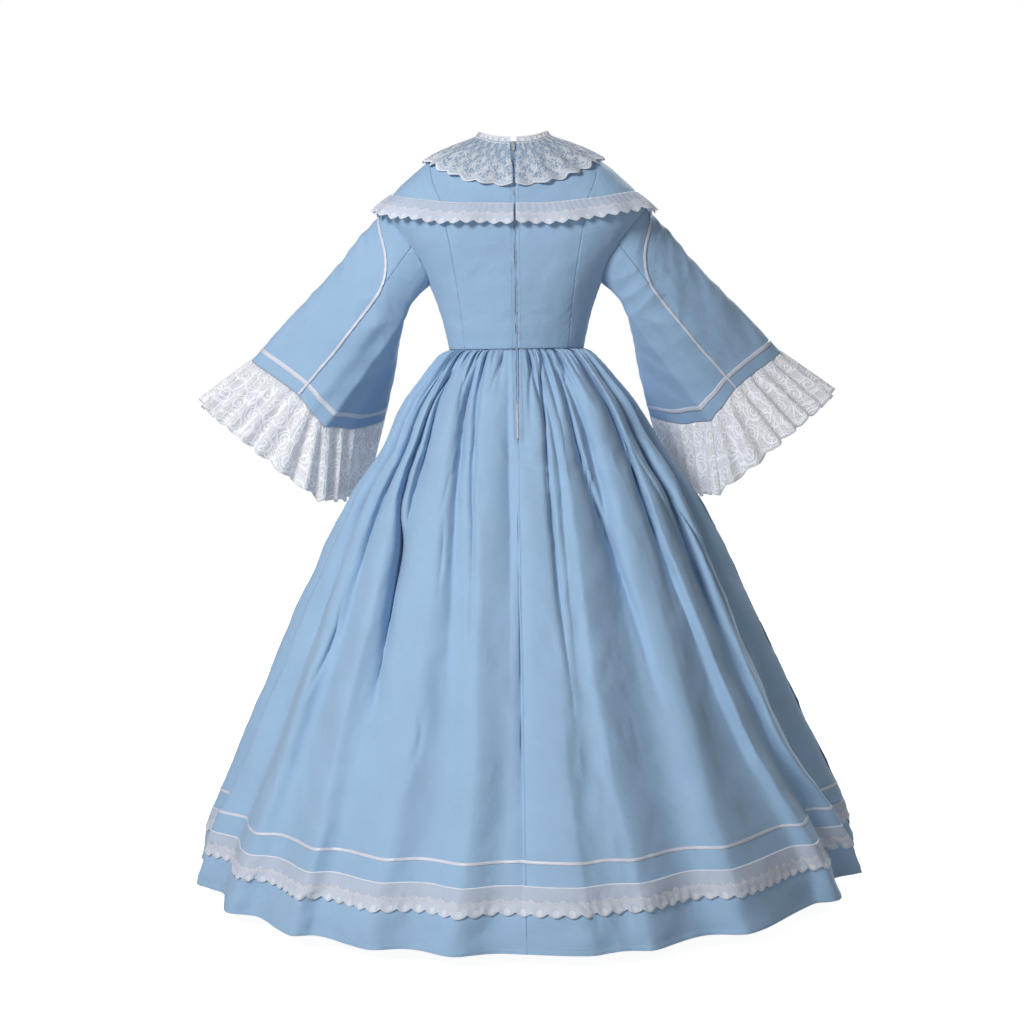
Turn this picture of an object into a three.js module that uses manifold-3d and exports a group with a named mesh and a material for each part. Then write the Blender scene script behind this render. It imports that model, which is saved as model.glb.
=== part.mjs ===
// Full-length gown with pagoda sleeves, hollow and open as it is when it is worn.
// Millimetres. +Z is up, the wearer faces -Y and +X is the wearer's left.
// The origin lies between the shoulders, where the wearer holds the gown up.
// An azimuth is measured from the centre back, positive towards the wearer's left.
import * as THREE from 'three';
import Module from 'manifold-3d';
import { mergeVertices } from 'three/addons/utils/BufferGeometryUtils.js';

// Driving dimensions
const COTTON = 1.5;
const LACE = 1.1;
const RIBBON = 1.0;
const TAPE = 1.0;
const SEAM_GAP = 0.3;
const ARMHOLE_GAP = 0.8;
const LACE_GAP = 0.9;
const ON_TOP = 0.5;
const WAIST_Z = -342;
const HEM_Z = -1293;
const SHOULDER_RISE = 2.5;

const ZIP_OPENING = 3.4;
const ZIP_END_Z = -495;
const TAPE_HALF = 11;
const TAPE_GAP = 0.6;
const COIL_HALF = 1.2;

const RIBBON_WIDTH = 6;
const SKIRT_RIBBON_UP = 140;
const SKIRT_FRILL_UP = 103;
const SKIRT_FRILL_DEPTH = 46;

// Bodice rings, from the neck to the waist: half width, depth to the back and to the front,
// heights at the back, side and front, how square the corners are, and how far the princess
// seams of the back and the front lie from the middle.
const BODICE_RINGS = [
  {
    at: 'neck', half: 62, back: 58, front: 75, zBack: 28, zSide: 42, zFront: -35, corner: 2.0,
    seamBack: 62, seamFront: 62,
  },
  {
    at: 'collar middle', half: 105, back: 87, front: 103, zBack: -10, zSide: 25, zFront: -75,
    corner: 2.1, seamBack: 105, seamFront: 105,
  },
  {
    at: 'collar edge', half: 152, back: 103, front: 120, zBack: -50, zSide: 0, zFront: -112,
    corner: 2.3, seamBack: 152, seamFront: 152,
  },
  {
    at: 'frill top', half: 222, back: 109, front: 132, zBack: -84, zSide: -62, zFront: -148,
    corner: 2.7, seamBack: 131, seamFront: 122,
  },
  {
    at: 'shoulder end', half: 239, back: 111, front: 137, zBack: -127, zSide: -90, zFront: -182,
    corner: 2.9, seamBack: 123, seamFront: 110,
  },
  {
    at: 'underarm', half: 157, back: 103, front: 133, zBack: -224, zSide: -224, zFront: -224,
    corner: 2.4, seamBack: 106, seamFront: 96,
  },
  {
    at: 'ribs', half: 136, back: 95, front: 113, zBack: -285, zSide: -285, zFront: -285, corner: 2.1,
    seamBack: 99, seamFront: 91,
  },
  {
    at: 'waist', half: 123, back: 88, front: 96, zBack: -342, zSide: -342, zFront: -342, corner: 2.0,
    seamBack: 94, seamFront: 86,
  },
];
const RING = { neck: 0, collarEdge: 2, frillTop: 3, shoulderEnd: 4, underarm: 5, waist: 7 };
const ARMHOLE_REACH = { back: 31, front: 34 };

// Skirt outline: half width, depths to the back and to the front, and the ridge-to-valley depth
// of a fold at each height.
const SKIRT_PROFILE = [
  { z: WAIST_Z, half: 123, back: 88, front: 96, fold: 4 },
  { z: -348, half: 138, back: 104, front: 110, fold: 7 },
  { z: -370, half: 160, back: 127, front: 132, fold: 11 },
  { z: -392, half: 178, back: 147, front: 152, fold: 15 },
  { z: -436, half: 213, back: 182, front: 188, fold: 20 },
  { z: -524, half: 262, back: 236, front: 242, fold: 27 },
  { z: -611, half: 323, back: 300, front: 304, fold: 33 },
  { z: -721, half: 380, back: 362, front: 364, fold: 37 },
  { z: -895, half: 460, back: 448, front: 448, fold: 42 },
  { z: -1070, half: 536, back: 526, front: 526, fold: 47 },
  { z: -1178, half: 586, back: 576, front: 576, fold: 50 },
  { z: -1221, half: 602, back: 592, front: 592, fold: 52 },
  { z: HEM_Z, half: 622, back: 612, front: 612, fold: 55 },
];
const SKIRT_OFF_CENTRE = -8;

// Folds that show at the back, from the wearer's right side to the left: the azimuth of each
// ridge at the named heights, how deep the valley on its left is against the profile's fold,
// the same at the waist, and where that valley lies between this ridge and the next.
const FOLD_HEIGHTS = [-342, -500, -650, -800, -1000, -1150, -1293];
const BACK_FOLDS = [
  { ridge: 'right 5', azimuths: [-87, -84, -80, -79, -82, -88, -95], dip: 0.9, dipAtWaist: 1, valley: 0.5 },
  { ridge: 'right 4', azimuths: [-70, -69, -61, -57, -58, -67, -76], dip: 1.0, dipAtWaist: 1, valley: 0.4 },
  {
    ridge: 'right 3', azimuths: [-53, -49, -43, -44.5, -48, -54, -59], dip: 0.8, dipAtWaist: 1,
    valley: 0.35,
  },
  {
    ridge: 'right 2', azimuths: [-35, -38, -34.5, -34.3, -34, -33.7, -34.8], dip: 0.7, dipAtWaist: 1,
    valley: 0.5,
  },
  {
    ridge: 'right 1', azimuths: [-18.7, -18, -15, -14, -15, -16.5, -18], dip: 0.35, dipAtWaist: 0.6,
    valley: 0.5,
  },
  {
    ridge: 'right of seam', azimuths: [-6, -9.5, -7.5, -7, -6.9, -7.8, -9], dip: 0.45, dipAtWaist: 0.3,
    valley: 0.5,
  },
  {
    ridge: 'left of seam', azimuths: [20, 18, 13.5, 11.5, 9.8, 10.5, 11.8], dip: 0.5, dipAtWaist: 1,
    valley: 0.5,
  },
  { ridge: 'left 1', azimuths: [34, 31, 27, 24, 23, 24, 25], dip: 1.25, dipAtWaist: 1, valley: 0.62 },
  { ridge: 'left 2', azimuths: [51, 47, 42.5, 40, 39.5, 38, 39.5], dip: 0.8, dipAtWaist: 1, valley: 0.5 },
  { ridge: 'left 3', azimuths: [64, 62, 59, 56, 54.5, 54, 56.8], dip: 0.75, dipAtWaist: 1, valley: 0.5 },
  { ridge: 'left 4', azimuths: [77, 74, 71, 70.5, 71, 72.5, 75.5], dip: 0.8, dipAtWaist: 1, valley: 0.5 },
  { ridge: 'left 5', azimuths: [90, 88.5, 87, 87, 88.5, 91, 93], dip: 0.9, dipAtWaist: 1, valley: 0.5 },
];
const SEAM_FOLD = 5;
const FRONT_FOLDS = 10;
const BACK_COLUMNS = 6;
const FRONT_COLUMNS = 4;
const GATHER_DEPTH = 2.6;
const GATHER_FADE = 90;

// Skirt rows, from the waist down to the hem
const SKIRT_ROWS = [
  WAIST_Z - SEAM_GAP, -354, -378, -430, -520, -650, -815, -985,
  HEM_Z + SKIRT_RIBBON_UP, HEM_Z + SKIRT_RIBBON_UP - RIBBON_WIDTH,
  HEM_Z + SKIRT_FRILL_UP, HEM_Z + SKIRT_FRILL_UP - SKIRT_FRILL_DEPTH, HEM_Z,
];
const RIBBON_ROW = 8;
const FRILL_ROW = 10;

// The left sleeve's lengthways lines. Each starts on the armhole, at its column of the sixteen
// that go round the sleeve, passes four points and ends at the hem, where the lace falls from it.
const SLEEVE_COLUMNS = 16;
const SLEEVE_LINES = [
  {
    line: 'over the arm', column: 0,
    points: [[282, -8, -132], [333, -22, -192], [405, -50, -263], [497, -90, -356]],
    lace: [103, -20, -82],
  },
  {
    line: 'outer front', column: 2,
    points: [[275, -80, -178], [322, -110, -245], [368, -155, -315], [412, -205, -392]],
    lace: [72, -42, -100],
  },
  {
    line: 'inner front', column: 5,
    points: [[218, -82, -250], [240, -115, -312], [268, -165, -382], [303, -225, -452]],
    lace: [30, -38, -126],
  },
  {
    line: 'inner', column: 7,
    points: [[200, -14, -262], [214, -38, -315], [228, -80, -385], [254, -150, -474]],
    lace: [46, -38, -132],
  },
  {
    line: 'crease', column: 10,
    points: [[190, 32, -255], [215, 24, -300], [268, 10, -370], [355, -10, -481]], lace: [16, 6, -137],
  },
  {
    line: 'back seam', column: 12,
    points: [[224, 54, -206], [262, 44, -256], [322, 22, -330], [404, -15, -421]],
    lace: [78, 14, -106],
  },
];
const SLEEVE_ROWS = [0, 0.1, 0.22, 0.36, 0.5, 0.65, 0.8, 0.938, 0.955, 1];
const SLEEVE_RIBBON_ROW = 7;
const SLEEVE_SEAM_COLUMNS = { front: 4, back: 12 };

const SLEEVE_LACE = { waves: 26, columnsPerWave: 4, top: 2.2, edge: 10, rows: [0, 1] };
const COLLAR = {
  waves: 20, columnsPerWave: 4, headingUp: 7, gather: 0.16, edge: 2.12, lift: 1.8, wave: 3.2, scallop: 0.1,
};
const BERTHA = { columns: 54, lift: 1.25, waves: 18, wave: 1.6 };
const COLLAR_OPENING = 5.4;

// Lower edge of the frill round the shoulders
const BERTHA_EDGE = { half: 256, back: 120, front: 146, zBack: -121, zSide: -95, zFront: -184, corner: 2.8 };

const COLOURS = { cotton: 0x93b7da, lace: 0xf2f4f8, satin: 0xf7f8fc, tape: 0xc9bdb8, metal: 0xb9bcc0 };

const radians = THREE.MathUtils.degToRad;
const lerp = THREE.MathUtils.lerp;

// Smooth curve through a table's column that never overshoots its values
function smooth(places, values, place) {
  const last = places.length - 1;
  const step = (i) => (values[i + 1] - values[i]) / (places[i + 1] - places[i]);
  const slope = (i) => {
    if (i === 0) return step(0);
    if (i === last) return step(last - 1);
    const before = step(i - 1);
    const after = step(i);
    return before * after <= 0 ? 0 : (2 * before * after) / (before + after);
  };
  let i = 0;
  while (i < last - 1 && Math.sign(places[last] - places[0]) * (place - places[i + 1]) > 0) i += 1;
  const span = places[i + 1] - places[i];
  const t = THREE.MathUtils.clamp((place - places[i]) / span, 0, 1);
  const s = t * t * (3 - 2 * t);
  const bend = t * (1 - t) * (slope(i) * (1 - t) - slope(i + 1) * t) * span;
  return lerp(values[i], values[i + 1], s) + bend;
}

const levels = BODICE_RINGS.map((ring, index) => index);

function bodiceRing(level) {
  const keys = ['half', 'back', 'front', 'zBack', 'zSide', 'zFront', 'corner'];
  return Object.fromEntries(keys.map((key) => [key, ringValue(key, level)]));
}

function ringValue(key, level) {
  return smooth(levels, BODICE_RINGS.map((ring) => ring[key]), level);
}

// Point at an azimuth on a ring whose corners are more or less square
function pointOnRing(ring, azimuth) {
  const s = Math.sin(azimuth);
  const c = Math.cos(azimuth);
  const reach = (Math.abs(s) ** ring.corner + Math.abs(c) ** ring.corner) ** (-1 / ring.corner);
  const end = c > 0 ? ring.zBack : ring.zFront;
  const depth = c > 0 ? ring.back : ring.front;
  const z = end + (ring.zSide - end) * Math.abs(reach * s) ** SHOULDER_RISE;
  return new THREE.Vector3(ring.half * reach * s, depth * reach * c, z);
}

function bodicePoint(azimuth, level) {
  return pointOnRing(bodiceRing(level), azimuth);
}

// Place on a surface: its point and the direction that points out of the cloth
function bodicePlace(azimuth, level) {
  const small = 1e-3;
  const low = Math.max(level - small, 0);
  const high = Math.min(level + small, RING.waist);
  const across = bodicePoint(azimuth + small, level).sub(bodicePoint(azimuth - small, level));
  const down = bodicePoint(azimuth, high).sub(bodicePoint(azimuth, low));
  return { p: bodicePoint(azimuth, level), n: across.cross(down).normalize() };
}

// Azimuth of a princess seam, found by halving
function seamAzimuth(level, side) {
  const ring = bodiceRing(level);
  const wanted = ringValue(side === 'back' ? 'seamBack' : 'seamFront', level);
  let low = 0;
  let high = Math.PI / 2;
  for (let i = 0; i < 40; i += 1) {
    const middle = (low + high) / 2;
    const azimuth = side === 'back' ? middle : Math.PI - middle;
    if (pointOnRing(ring, azimuth).x < wanted) low = middle;
    else high = middle;
  }
  return side === 'back' ? high : Math.PI - high;
}

// Armhole: an ellipse on the bodice's surface from the shoulder end to the underarm. The turn is 0
// at the shoulder end, a half at the underarm, and passes the back first.
function armhole(turn) {
  const angle = turn * 2 * Math.PI;
  const middle = (RING.shoulderEnd + RING.underarm) / 2;
  const halfHeight = (RING.underarm - RING.shoulderEnd) / 2;
  const reach = radians(turn <= 0.5 ? ARMHOLE_REACH.back : ARMHOLE_REACH.front);
  return { azimuth: Math.PI / 2 - reach * Math.sin(angle), level: middle - halfHeight * Math.cos(angle) };
}

// Grids: rows run down the cloth and columns across it, so that across x down points out
function gridNormals(points, closed) {
  const rows = points.length;
  const columns = points[0].length;
  return points.map((row, r) => row.map((p, c) => {
    const left = closed ? (c + columns - 1) % columns : Math.max(c - 1, 0);
    const right = closed ? (c + 1) % columns : Math.min(c + 1, columns - 1);
    const across = row[right].clone().sub(row[left]);
    const down = points[Math.min(r + 1, rows - 1)][c].clone().sub(points[Math.max(r - 1, 0)][c]);
    return { p, n: across.cross(down).normalize() };
  }));
}

function moved(grid, distance) {
  return grid.map((row) => row.map(({ p, n }) => ({ p: p.clone().addScaledVector(n, distance), n })));
}

function columnsOf(grid, from, to) {
  const count = grid[0].length;
  const picks = Array.from({ length: to - from + 1 }, (_, i) => (from + i + count) % count);
  return grid.map((row) => picks.map((c) => row[c]));
}

function mirrored(grid) {
  const across = new THREE.Vector3(-1, 1, 1);
  const flip = ({ p, n }) => ({ p: p.clone().multiply(across), n: n.clone().multiply(across) });
  return grid.map((row) => row.map(flip).reverse());
}

function pulledIn(place, neighbour, distance) {
  const inward = neighbour.p.clone().sub(place.p).normalize();
  return { p: place.p.clone().addScaledVector(inward, distance), n: place.n };
}

// Draws the named edges of a grid in by half a seam gap
function trimmed(grid, edges, distance = SEAM_GAP / 2) {
  let rows = grid.map((row) => row.slice());
  const last = rows.length - 1;
  if (edges.includes('top')) rows[0] = rows[0].map((place, c) => pulledIn(place, rows[1][c], distance));
  if (edges.includes('bottom')) {
    rows[last] = rows[last].map((place, c) => pulledIn(place, rows[last - 1][c], distance));
  }
  if (edges.includes('left')) {
    rows = rows.map((row) => [pulledIn(row[0], row[1], distance), ...row.slice(1)]);
  }
  if (edges.includes('right')) {
    rows = rows.map((row) => [...row.slice(0, -1), pulledIn(row.at(-1), row.at(-2), distance)]);
  }
  return rows;
}

// Closed wall of a given thickness behind a grid of outer places
function wall(grid, thickness, closed = false) {
  const rows = grid.length;
  const columns = grid[0].length;
  const positions = [];
  const indices = [];
  grid.forEach((row) => row.forEach(({ p }) => positions.push(p.x, p.y, p.z)));
  grid.forEach((row) => row.forEach(({ p, n }) => {
    positions.push(p.x - n.x * thickness, p.y - n.y * thickness, p.z - n.z * thickness);
  }));
  const inside = rows * columns;
  const quad = (a, b, c, d) => indices.push(a, b, c, a, c, d);
  const spans = closed ? columns : columns - 1;
  for (let c = 0; c < spans; c += 1) {
    const next = (c + 1) % columns;
    for (let r = 0; r < rows - 1; r += 1) {
      const a = r * columns + c;
      const b = r * columns + next;
      const d = b + columns;
      const e = a + columns;
      quad(a, b, d, e);
      indices.push(inside + a, inside + d, inside + b, inside + a, inside + e, inside + d);
    }
    const end = (rows - 1) * columns;
    quad(c, inside + c, inside + next, next);
    quad(end + c, end + next, inside + end + next, inside + end + c);
  }
  for (let r = 0; !closed && r < rows - 1; r += 1) {
    const a = r * columns;
    const b = a + columns;
    quad(a, b, inside + b, inside + a);
    quad(a + columns - 1, inside + a + columns - 1, inside + b + columns - 1, b + columns - 1);
  }
  const geometry = new THREE.BufferGeometry();
  geometry.setAttribute('position', new THREE.Float32BufferAttribute(positions, 3));
  geometry.setIndex(indices);
  return geometry;
}

const gown = new THREE.Group();

function addPiece(name, geometry, colour, roughness = 0.85, metalness = 0) {
  geometry.computeVertexNormals();
  const material = new THREE.MeshStandardMaterial({ color: COLOURS[colour], roughness, metalness });
  const mesh = new THREE.Mesh(geometry, material);
  mesh.name = name;
  gown.add(mesh);
  return mesh;
}

// Adds a left piece and its mirror image
function addPair(name, grid, thickness, colour, roughness) {
  addPiece(`${name}_left`, wall(grid, thickness), colour, roughness);
  addPiece(`${name}_right`, wall(mirrored(grid), thickness), colour, roughness);
}

// Levels of the seams' points. The rows above the collar's edge lie on the shoulder seam.
const SHOULDER_LEVELS = [0, 0.5, 1, 1.5];
const PRINCESS_LEVELS = [2, 2.08, 2.3, 2.6, 3, 3.4, 3.8, 4.2, 4.6, 5, 5.5, 6, 6.5, 7];
const ARM_STEPS = 8;

function centrePanel(side) {
  const centre = side === 'back' ? 0 : Math.PI;
  const shoulder = SHOULDER_LEVELS.map((level) => ({ level, azimuth: Math.PI / 2 }));
  const princess = PRINCESS_LEVELS.map((level) => ({ level, azimuth: seamAzimuth(level, side) }));
  const shares = [0, 0.22, 0.48, 0.75, 1];
  return [...shoulder, ...princess].map(({ level, azimuth }) => {
    const row = shares.map((share) => bodicePlace(lerp(centre, azimuth, share), level));
    return side === 'back' ? row : row.reverse();
  });
}

// Points down the armhole and the side seam, as many as down the princess seam
function sideEdge(side) {
  const arm = Array.from({ length: ARM_STEPS + 1 }, (_, i) => {
    const turn = i / (2 * ARM_STEPS);
    return armhole(side === 'back' ? turn : 1 - turn);
  });
  const below = PRINCESS_LEVELS.length - arm.length;
  const seam = Array.from({ length: below }, (_, i) => {
    const level = lerp(RING.underarm, RING.waist, (i + 1) / below);
    return { azimuth: Math.PI / 2, level };
  });
  return [...arm, ...seam];
}

function sidePanel(side) {
  const edge = sideEdge(side);
  const shares = [0, 0.33, 0.67, 1];
  return PRINCESS_LEVELS.map((level, r) => {
    const azimuth = seamAzimuth(level, side);
    const row = shares.map((share) => bodicePlace(
      lerp(azimuth, edge[r].azimuth, share),
      lerp(level, edge[r].level, share),
    ));
    return side === 'back' ? row : row.reverse();
  });
}

// Parts a centre back edge for the zip: the first column goes to a set distance from the middle
function partedAtZip(grid, distance, lowest = -Infinity) {
  return grid.map((row) => {
    const [edge, next, ...rest] = row;
    const away = edge.p.z >= lowest ? distance : SEAM_GAP / 2;
    const p = new THREE.Vector3(away, edge.p.y, edge.p.z);
    return [{ p, n: edge.n }, next, ...rest];
  });
}

function addBodice() {
  const back = trimmed(partedAtZip(centrePanel('back'), ZIP_OPENING / 2), ['right', 'bottom']);
  addPair('bodice_back', back, COTTON, 'cotton');
  const edges = ['left', 'right', 'top', 'bottom'];
  addPair('bodice_side_back', trimmed(sidePanel('back'), edges), COTTON, 'cotton');
  addPair('bodice_side_front', trimmed(sidePanel('front'), edges), COTTON, 'cotton');
  const half = centrePanel('front');
  const other = mirrored(half);
  const front = half.map((row, r) => [...row, ...other[r].slice(1)]);
  addPiece('bodice_front', wall(trimmed(front, ['left', 'right', 'bottom']), COTTON), 'cotton');
  return back;
}

// Skirt: every fold is a whole step of phase, and its ridges and valleys follow the tables
const folds = makeFolds();

function makeFolds() {
  const last = BACK_FOLDS[BACK_FOLDS.length - 1];
  const turned = BACK_FOLDS[0].azimuths.map((azimuth) => azimuth + 360);
  const front = Array.from({ length: FRONT_FOLDS }, (_, i) => ({
    azimuths: last.azimuths.map((start, k) => lerp(start, turned[k], (i + 1) / (FRONT_FOLDS + 1))),
    dip: i % 2 === 0 ? 0.8 : 0.6,
    dipAtWaist: 1,
    valley: 0.5,
  }));
  return [...BACK_FOLDS, ...front];
}

function foldAt(index, z) {
  const count = folds.length;
  const fold = folds[(index + count) % count];
  return smooth(FOLD_HEIGHTS, fold.azimuths, z) + 360 * Math.floor(index / count);
}

// Azimuth in degrees of a phase. The column a third into the seam's fold stays at the centre back.
function phaseAzimuth(phase, z) {
  const index = Math.floor(phase + 1e-9);
  const part = phase - index;
  const start = foldAt(index, z);
  const end = foldAt(index + 1, z);
  const middle = index === SEAM_FOLD ? -start / 2 : lerp(start, end, folds[index % folds.length].valley);
  return part < 0.5 ? lerp(start, middle, part * 2) : lerp(middle, end, part * 2 - 1);
}

function profile(key, z) {
  return smooth(SKIRT_PROFILE.map((row) => row.z), SKIRT_PROFILE.map((row) => row[key]), z);
}

function skirtPoint(phase, z) {
  const index = Math.floor(phase + 1e-9) % folds.length;
  const part = phase - Math.floor(phase + 1e-9);
  const azimuth = radians(phaseAzimuth(phase, z));
  const width = Math.abs(foldAt(index + 1, z) - foldAt(index, z));
  const settle = THREE.MathUtils.smoothstep(-z, -WAIST_Z, 650);
  const dip = lerp(folds[index].dipAtWaist, folds[index].dip, settle) * Math.min(1, width / 14);
  const valley = profile('fold', z) * dip * Math.sin(Math.PI * part) ** 2.3;
  const gathers = Math.exp((z - WAIST_Z) / GATHER_FADE) * (1 - Math.exp((z - WAIST_Z) / 8));
  const flat = Math.abs(phase - SEAM_FOLD - 1 / 3) < 1 ? 0.2 : 1;
  const inward = valley + flat * GATHER_DEPTH * gathers * (1 - Math.cos(4 * Math.PI * part));
  const c = Math.cos(azimuth);
  const x = SKIRT_OFF_CENTRE * settle + (profile('half', z) - inward) * Math.sin(azimuth);
  const y = (profile(c > 0 ? 'back' : 'front', z) - inward) * c;
  return new THREE.Vector3(x, y, z);
}

function skirtPhases() {
  const phases = [];
  folds.forEach((fold, index) => {
    const columns = index < BACK_FOLDS.length ? BACK_COLUMNS : FRONT_COLUMNS;
    for (let i = 0; i < columns; i += 1) phases.push(index + i / columns);
  });
  return phases;
}

function skirtGrid() {
  const phases = skirtPhases();
  const points = SKIRT_ROWS.map((z) => phases.map((phase) => skirtPoint(phase, z)));
  return gridNormals(points, true);
}

function centredSeam(grid, column) {
  return grid.map((row) => row.map((place, c) => (
    c === column ? { p: new THREE.Vector3(0, place.p.y, place.p.z), n: place.n } : place
  )));
}

function addSkirt() {
  const seam = SEAM_FOLD * BACK_COLUMNS + BACK_COLUMNS / 3;
  const leftSide = (BACK_FOLDS.length - 1) * BACK_COLUMNS;
  const rightSide = 0;
  const ring = centredSeam(skirtGrid(), seam);
  const around = ring[0].length;
  const backLeft = partedAtZip(columnsOf(ring, seam, leftSide), ZIP_OPENING / 2, ZIP_END_Z - 30);
  const backRight = mirrored(partedAtZip(
    mirrored(columnsOf(ring, rightSide, seam)),
    ZIP_OPENING / 2,
    ZIP_END_Z - 30,
  ));
  addPiece('skirt_back_left', wall(trimmed(backLeft, ['right']), COTTON), 'cotton');
  addPiece('skirt_back_right', wall(trimmed(backRight, ['left']), COTTON), 'cotton');
  const front = trimmed(columnsOf(ring, leftSide, rightSide + around), ['left', 'right']);
  addPiece('skirt_front', wall(front, COTTON), 'cotton');
  const band = ring.slice(RIBBON_ROW, RIBBON_ROW + 2);
  addPiece('skirt_ribbon', wall(moved(band, ON_TOP + RIBBON), RIBBON, true), 'satin', 0.35);
  const frill = ring.slice(FRILL_ROW, FRILL_ROW + 2);
  const flared = [moved([frill[0]], ON_TOP + LACE)[0], moved([frill[1]], ON_TOP + LACE + 2.5)[0]];
  addPiece('skirt_frill', wall(flared, LACE, true), 'lace');
  return { backLeft, backRight };
}

// Sleeve: closed rings through the lengthways lines
function sleeveLinePoint(line, share) {
  const { azimuth, level } = armhole(1 - line.column / SLEEVE_COLUMNS);
  const start = bodicePoint(azimuth, level);
  const points = [start, ...line.points.map((point) => new THREE.Vector3(...point))];
  return new THREE.CatmullRomCurve3(points, false, 'centripetal').getPoint(share);
}

// Value round the sleeve at a column, from the points on its six lines
function roundSleeve(points, column) {
  const count = SLEEVE_LINES.length;
  const curve = new THREE.CatmullRomCurve3(points, true, 'centripetal');
  const wrapped = (column + SLEEVE_COLUMNS) % SLEEVE_COLUMNS;
  let i = count - 1;
  while (SLEEVE_LINES[i].column > wrapped) i -= 1;
  const end = i === count - 1 ? SLEEVE_COLUMNS : SLEEVE_LINES[i + 1].column;
  const part = (wrapped - SLEEVE_LINES[i].column) / (end - SLEEVE_LINES[i].column);
  return curve.getPoint(((i + part) / count) % 1);
}

function sleevePoint(column, share) {
  const ring = SLEEVE_LINES.map((line) => sleeveLinePoint(line, share));
  const onRing = roundSleeve(ring, column);
  const { azimuth, level } = armhole(1 - column / SLEEVE_COLUMNS);
  const lineStart = roundSleeve(SLEEVE_LINES.map((line) => sleeveLinePoint(line, 0)), column);
  const fit = bodicePoint(azimuth, level).sub(lineStart);
  return onRing.addScaledVector(fit, Math.max(0, 1 - share / 0.3) ** 2);
}

function armholeNormal() {
  const shoulder = bodicePoint(Math.PI / 2, RING.shoulderEnd);
  const under = bodicePoint(Math.PI / 2, RING.underarm);
  const along = under.sub(shoulder).normalize();
  return new THREE.Vector3(-along.z, 0, along.x);
}

function sleeveGrid() {
  const clear = armholeNormal().multiplyScalar(ARMHOLE_GAP);
  const points = SLEEVE_ROWS.map((share) => Array.from({ length: SLEEVE_COLUMNS }, (_, c) => (
    sleevePoint(c, share).add(clear)
  )));
  return gridNormals(points, true);
}

// Place on the flat faces of a grid, at whole rows and any column
function between(row, column) {
  const count = row.length;
  const left = row[Math.floor(column) % count];
  const right = row[(Math.floor(column) + 1) % count];
  const part = column - Math.floor(column);
  return { p: left.p.clone().lerp(right.p, part), n: left.n.clone().lerp(right.n, part).normalize() };
}

function onFaces(grid, column, row) {
  const upper = Math.min(Math.floor(row), grid.length - 2);
  const a = between(grid[upper], column);
  const b = between(grid[upper + 1], column);
  const part = row - upper;
  return { p: a.p.lerp(b.p, part), n: a.n.lerp(b.n, part).normalize() };
}

function sleeveLace(grid) {
  const hem = grid[grid.length - 1];
  const falls = SLEEVE_LINES.map((line) => new THREE.Vector3(...line.lace));
  const count = SLEEVE_LACE.waves * SLEEVE_LACE.columnsPerWave;
  const lengths = hem.map((place, c) => place.p.distanceTo(hem[(c + 1) % hem.length].p));
  const whole = lengths.reduce((sum, length) => sum + length, 0);
  const columnAt = (distance) => {
    let c = 0;
    let left = distance;
    while (c < lengths.length - 1 && left > lengths[c]) {
      left -= lengths[c];
      c += 1;
    }
    return c + left / lengths[c];
  };
  const points = SLEEVE_LACE.rows.map((row) => Array.from({ length: count }, (_, i) => {
    const column = columnAt((i / count) * whole);
    const base = between(hem, column);
    const fall = roundSleeve(falls, column);
    const before = between(hem, column + SLEEVE_COLUMNS - 0.5);
    const along = between(hem, column + 0.5).p.sub(before.p).normalize();
    const out = along.clone().cross(fall).normalize();
    const wave = Math.sin((i / SLEEVE_LACE.columnsPerWave) * 2 * Math.PI);
    const reach = lerp(SLEEVE_LACE.top, SLEEVE_LACE.edge, row) * wave - LACE / 2;
    const start = fall.clone().setLength(LACE_GAP);
    return base.p.add(start).addScaledVector(fall, row).addScaledVector(out, row === 0 ? -LACE / 2 : reach);
  }));
  return gridNormals(points, true);
}

// Ribbon along a path of faces, given as columns and rows of the sleeve's grid
const SLEEVE_RIBBON_PATH = [
  { column: 15.3, row: 0.5 }, { column: 14.1, row: 1.2 }, { column: 13, row: 1.9 },
  { column: 12.3, row: 2.6 }, { column: 12, row: 3.3 }, { column: 12, row: 4.2 },
  { column: 12, row: 5.1 }, { column: 12, row: 6 }, { column: 12, row: 7 }, { column: 12, row: 8.9 },
];
const SLEEVE_RIBBON = { steps: 28, lift: 1.4 };

// Columns and rows that lead to a small move on the surface
function domainStep(grid, column, row, move) {
  const part = 0.05;
  const slope = (dc, dr) => onFaces(grid, column + dc, row + dr).p
    .sub(onFaces(grid, column - dc, row - dr).p).divideScalar(2 * part);
  const across = slope(part, 0);
  const down = slope(0, part);
  const [a, b, d] = [across.dot(across), across.dot(down), down.dot(down)];
  const [e, f] = [across.dot(move), down.dot(move)];
  const scale = a * d - b * b;
  return { column: (e * d - f * b) / scale, row: (a * f - b * e) / scale };
}

function sleeveRibbon(grid) {
  const flat = SLEEVE_RIBBON_PATH.map(({ column, row }) => new THREE.Vector3(column, row, 0));
  const path = new THREE.CatmullRomCurve3(flat, false, 'centripetal');
  const places = path.getPoints(SLEEVE_RIBBON.steps);
  return places.map(({ x: column, y: row }, i) => {
    const before = places[Math.max(i - 1, 0)];
    const after = places[Math.min(i + 1, places.length - 1)];
    const { n } = onFaces(grid, column, row);
    const along = onFaces(grid, after.x, after.y).p.sub(onFaces(grid, before.x, before.y).p);
    const across = along.cross(n).setLength(RIBBON_WIDTH / 2);
    const step = domainStep(grid, column, row, across);
    return [-1, 0, 1].map((side) => {
      const place = onFaces(grid, column + side * step.column, row + side * step.row);
      return { p: place.p.addScaledVector(place.n, SLEEVE_RIBBON.lift + RIBBON), n: place.n };
    });
  });
}

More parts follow.
